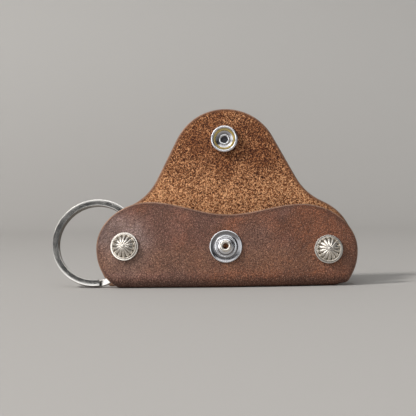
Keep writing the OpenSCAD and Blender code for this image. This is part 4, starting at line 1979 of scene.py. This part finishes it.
@dataclass
class SplitRing:
    """Flat wire wound through two turns, hung on the left post."""

    outer_d: float = 36.8
    wire_w: float = 2.7
    wire_t: float = 1.2
    gap: float = 0.45
    bevel: float = 0.24
    end_angle: float = -82.0
    cross_angle: float = 22.0
    tilt: float = 9.0
    post_r: float = 1.7
    post_gap: float = 0.2
    floor_gap: float = 0.05
    steps: int = 520
    sharp: float = 50.0
    # Painted shade inside the ring, and a painted dark reflection on the wire's flat sides.
    inner_skin: float = 0.1
    inner_shade: float = 0.85
    outer_skin: float = 0.3
    side_painted_reflection: float = 0.22

    @property
    def thickness(self) -> float:
        """Thickness of both turns together."""
        return 2 * self.wire_t + self.gap

    def seat(self) -> Matrix:
        """Frame of the resting ring, with its middle at the origin.

        Returns:
            The frame, for a mesh in metres.
        """
        hung = FOLD.seat(OUTLINE.post(Side.LEFT), (FOLD.depth(False) + FOLD.depth(True)) / 2)
        lean = math.radians(FOLD.lean + self.tilt)
        radius = self.outer_d / 2
        reach = radius - self.wire_w - self.post_r - self.post_gap
        low = radius * math.cos(lean) + self.thickness / 2 * math.sin(lean) + self.floor_gap
        rise = (low - hung.translation.z / MM) / math.cos(lean)
        out = math.sqrt(reach ** 2 - rise ** 2)
        turn = Matrix.Rotation(-math.radians(self.tilt), 4, "X")
        return hung @ turn @ Matrix.Translation(Vector((-out, rise, 0)) * MM)

    def depth(self, angle: float) -> float:
        """Depth of the wire in the ring, where it is wound to an angle in degrees."""
        t = held((self.end_angle - angle - (360 - self.cross_angle)) / self.cross_angle)
        return (self.thickness - self.wire_t) * (0.5 - t * t * (3 - 2 * t))

    def hollow(self, out: float) -> float:
        """Painted shade on the wire: painted shade inside the ring, and a painted dark reflection on its flat
        sides.

        Args:
            out: its way out of the wire's middle, away from the ring's.

        Returns:
            Painted shade from 0 to 1.
        """
        if out < self.inner_skin - self.wire_w / 2:
            return self.inner_shade
        return self.side_painted_reflection if out < self.wire_w / 2 - self.outer_skin else 0.0

    def make(self) -> bpy.types.Object:
        """Builds the ring, both ends cut square.

        Returns:
            The piece.
        """
        half_w, half_t = self.wire_w / 2, self.wire_t / 2
        wire = rounded([(-half_w, -half_t), (half_w, -half_t), (half_w, half_t), (-half_w, half_t)],
                       self.bevel, 4, True)
        middle = self.outer_d / 2 - half_w
        mesh = bmesh.new()
        layer = mesh.verts.layers.float.new(Fitting.SHADE_LAYER)
        rows = []
        for i in range(self.steps + 1):
            angle = self.end_angle - (720 - self.cross_angle) * i / self.steps
            z = self.depth(angle)
            rows.append([mesh.verts.new(spun(middle + out, math.radians(angle), z + up)) for out, up in wire])
            for vert, (out, _) in zip(rows[-1], wire):
                vert[layer] = self.hollow(out)
        for low, high in zip(rows, rows[1:]):
            strip(mesh, low, high)
        mesh.faces.new(rows[0])
        mesh.faces.new(rows[-1][::-1])
        ring = Fitting("split_ring_wire", self.seat(), STEEL, "ring", ("split_ring",))
        return ring.finished(mesh, self.sharp)


# ------------------------------------------------------------------ the studio


@dataclass(frozen=True)
class Lamp:
    """A soft rectangular lamp.

    Attributes:
        name: its name.
        place: its middle, in metres.
        size: its width and height.
        watts: its power.
        colour: its light's colour.
        adds: what it adds to a surface.
    """

    name: str
    place: Triple
    size: Point
    watts: float
    colour: Colour = (1, 1, 1)
    adds: Lit = Lit.ALL

    def hang(self, aim: Triple) -> None:
        """Hangs the lamp.

        Args:
            aim: the point that it faces.
        """
        data = bpy.data.lights.new(self.name, "AREA")
        data.shape = "RECTANGLE"
        data.size, data.size_y = self.size
        data.energy, data.color = self.watts, self.colour
        lamp = placed(self.name, data)
        lamp.location = self.place
        lamp.rotation_euler = (Vector(aim) - Vector(self.place)).to_track_quat("-Z", "Y").to_euler()
        lamp.visible_glossy = self.adds is not Lit.COLOUR
        lamp.visible_diffuse = self.adds is not Lit.GLOSS


@dataclass
class Studio:
    """Pale floor that curves up into a wall, soft lamps, and the camera of the photograph, in metres."""

    # The backdrop's colours are painted light: darker further back on the floor, paler to the right and up
    # the wall.
    floor_near: Colour = (0.360, 0.345, 0.330)
    floor_far: Colour = (0.345, 0.331, 0.317)
    pale_painted_light: Colour = (0.44, 0.428, 0.412)
    beyond: Colour = (0.43, 0.415, 0.395)
    backdrop_roughness: float = 0.9
    backdrop_gloss: float = 0.1
    painted_falloff: Ramp = Ramp(-0.25, 0.42)
    painted_light_right: Ramp = Ramp(-0.1, 0.3, 0.0, 0.45)
    painted_light_up: Ramp = Ramp(0.0, 0.25)
    columns: tuple[float, ...] = (-1.4, -0.5, 0.5, 1.4)
    floor_rows: tuple[float, ...] = (-1.2, -0.4, 0.0, 0.32)
    sweep_y: float = 0.42
    sweep_r: float = 0.22
    sweep_steps: int = 24
    wall_z: float = 1.4
    lamp_aim: Triple = (0.0, 0.0, 0.03)
    lamps: tuple[Lamp, ...] = (
        Lamp("key_softbox", (-1.17, -0.49, 1.15), (0.22, 0.22), 25.0, (1.0, 0.985, 0.96), Lit.COLOUR),
        Lamp("key_glow", (-1.17, -0.49, 1.15), (0.80, 0.80), 9.0, (1.0, 0.985, 0.96), Lit.GLOSS),
        Lamp("front_fill", (-0.12, -0.75, 1.00), (1.40, 0.60), 5.6),
        Lamp("top_fill", (0.0, 0.15, 1.1), (0.8, 0.8), 1.6),
        Lamp("left_card", (-0.62, -0.64, 0.16), (0.9, 0.45), 1.9))
    daylight: Colour = (0.94, 0.97, 1.0)
    low_walls: Ramp = Ramp(0.28, 0.44, 0.52, 0.07)
    ceiling: Ramp = Ramp(0.62, 0.85, 0.0, 0.26)
    right_dark: Ramp = Ramp(-0.2, 0.8, 1.0, 0.4)
    azimuth: float = 2.9
    elevation: float = 2.0
    roll: float = -1.04
    distance: float = 0.5
    focal_px: float = 1230.0
    frame_px: float = 416.0
    sensor_mm: float = 36.0
    clip_start: float = 0.01
    clip_end: float = 10.0
    target: Triple = (-0.00679, 0.0, 0.03196)

    def make_backdrop(self) -> None:
        """Builds the floor and wall as one sweep, whose colour is painted light: paler up the wall and to the
        right, and darker further back on the floor.
        """
        line = [(y, 0.0) for y in self.floor_rows]
        line += arc((self.sweep_y, self.sweep_r), self.sweep_r, -90, 0, self.sweep_steps)
        line += [(self.sweep_y + self.sweep_r, self.wall_z)]
        mesh = bmesh.new()
        rows = [[mesh.verts.new((x, y, z)) for x in self.columns] for y, z in line]
        for low, high in zip(rows, rows[1:]):
            for k in range(len(low) - 1):
                mesh.faces.new((low[k], low[k + 1], high[k + 1], high[k])).smooth = True
        g = Graph("pale_backdrop")
        place = g.add("ShaderNodeTexCoord").outputs["Object"]
        # Painted light: darker further back on the floor, paler to the right and up the wall.
        colour = g.blend(g.span(g.part(place, "Y"), self.painted_falloff), self.floor_near, self.floor_far)
        for letter, ramp in (("X", self.painted_light_right), ("Z", self.painted_light_up)):
            colour = g.blend(g.span(g.part(place, letter), ramp), colour, self.pale_painted_light)
        g.surface(base_color=colour, roughness=self.backdrop_roughness,
                  specular_ior_level=self.backdrop_gloss)
        backdrop = meshed("backdrop", mesh)
        backdrop.data.materials.append(g.material)
        backdrop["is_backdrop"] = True

    def make_light(self) -> None:
        """Hangs the lamps, and lights the world as a studio does: pale low walls, dark room, pale ceiling."""
        for lamp in self.lamps:
            lamp.hang(self.lamp_aim)
        g = Sky("studio")
        way = g.add("ShaderNodeTexCoord").outputs["Generated"]
        across, up = g.part(way, "X"), g.part(way, "Z")
        level = g.maths("ADD", g.span(up, self.low_walls), g.span(up, self.ceiling))
        g.shine(g.maths("MULTIPLY", level, g.span(across, self.right_dark)), self.daylight, self.beyond)

    def make_camera(self) -> None:
        """Sets the camera at the photograph's viewing angle."""
        a, e, r = (math.radians(v) for v in (self.azimuth, self.elevation, self.roll))
        back = Vector((math.sin(a) * math.cos(e), -math.cos(a) * math.cos(e), math.sin(e)))
        right = Vector((math.cos(a), math.sin(a), 0))
        up = back.cross(right)
        across = right * math.cos(r) + up * math.sin(r)
        over = up * math.cos(r) - right * math.sin(r)
        data = bpy.data.cameras.new("camera")
        data.sensor_fit, data.sensor_width = "HORIZONTAL", self.sensor_mm
        data.lens = self.focal_px * self.sensor_mm / self.frame_px
        data.clip_start, data.clip_end = self.clip_start, self.clip_end
        camera = placed("camera", data)
        spin = Matrix((across, over, back)).transposed().to_4x4()
        camera.matrix_world = Matrix.Translation(Vector(self.target) + back * self.distance) @ spin
        bpy.context.scene.camera = camera


# -------------------------------------------------------------------- the case


def main() -> None:
    """Builds the case and its studio in order, and reports each piece."""
    bpy.context.scene.view_settings.view_transform = "Standard"
    studio = Studio()
    studio.make_camera()
    studio.make_backdrop()
    studio.make_light()
    hide = Hide()
    leather = hide.make()
    hide.join(leather)
    made = [leather]
    for side in Side:
        end = ConchoPost(side)
        made += [end.make_post(), end.make_concho(), end.make_screw()]
    snap = RingSnap()
    made += [snap.make_stud(), snap.make_eyelet(), snap.make_socket(), snap.make_spring(), snap.make_cap()]
    made.append(SplitRing().make())
    for piece in made:
        log.info("%s: %d faces", piece.name, len(piece.data.polygons))
    [[list(corner) for corner in box] for box in (CAD_BOX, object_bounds())]


if __name__ == "__main__":
    logging.basicConfig(level=logging.INFO)
    main()
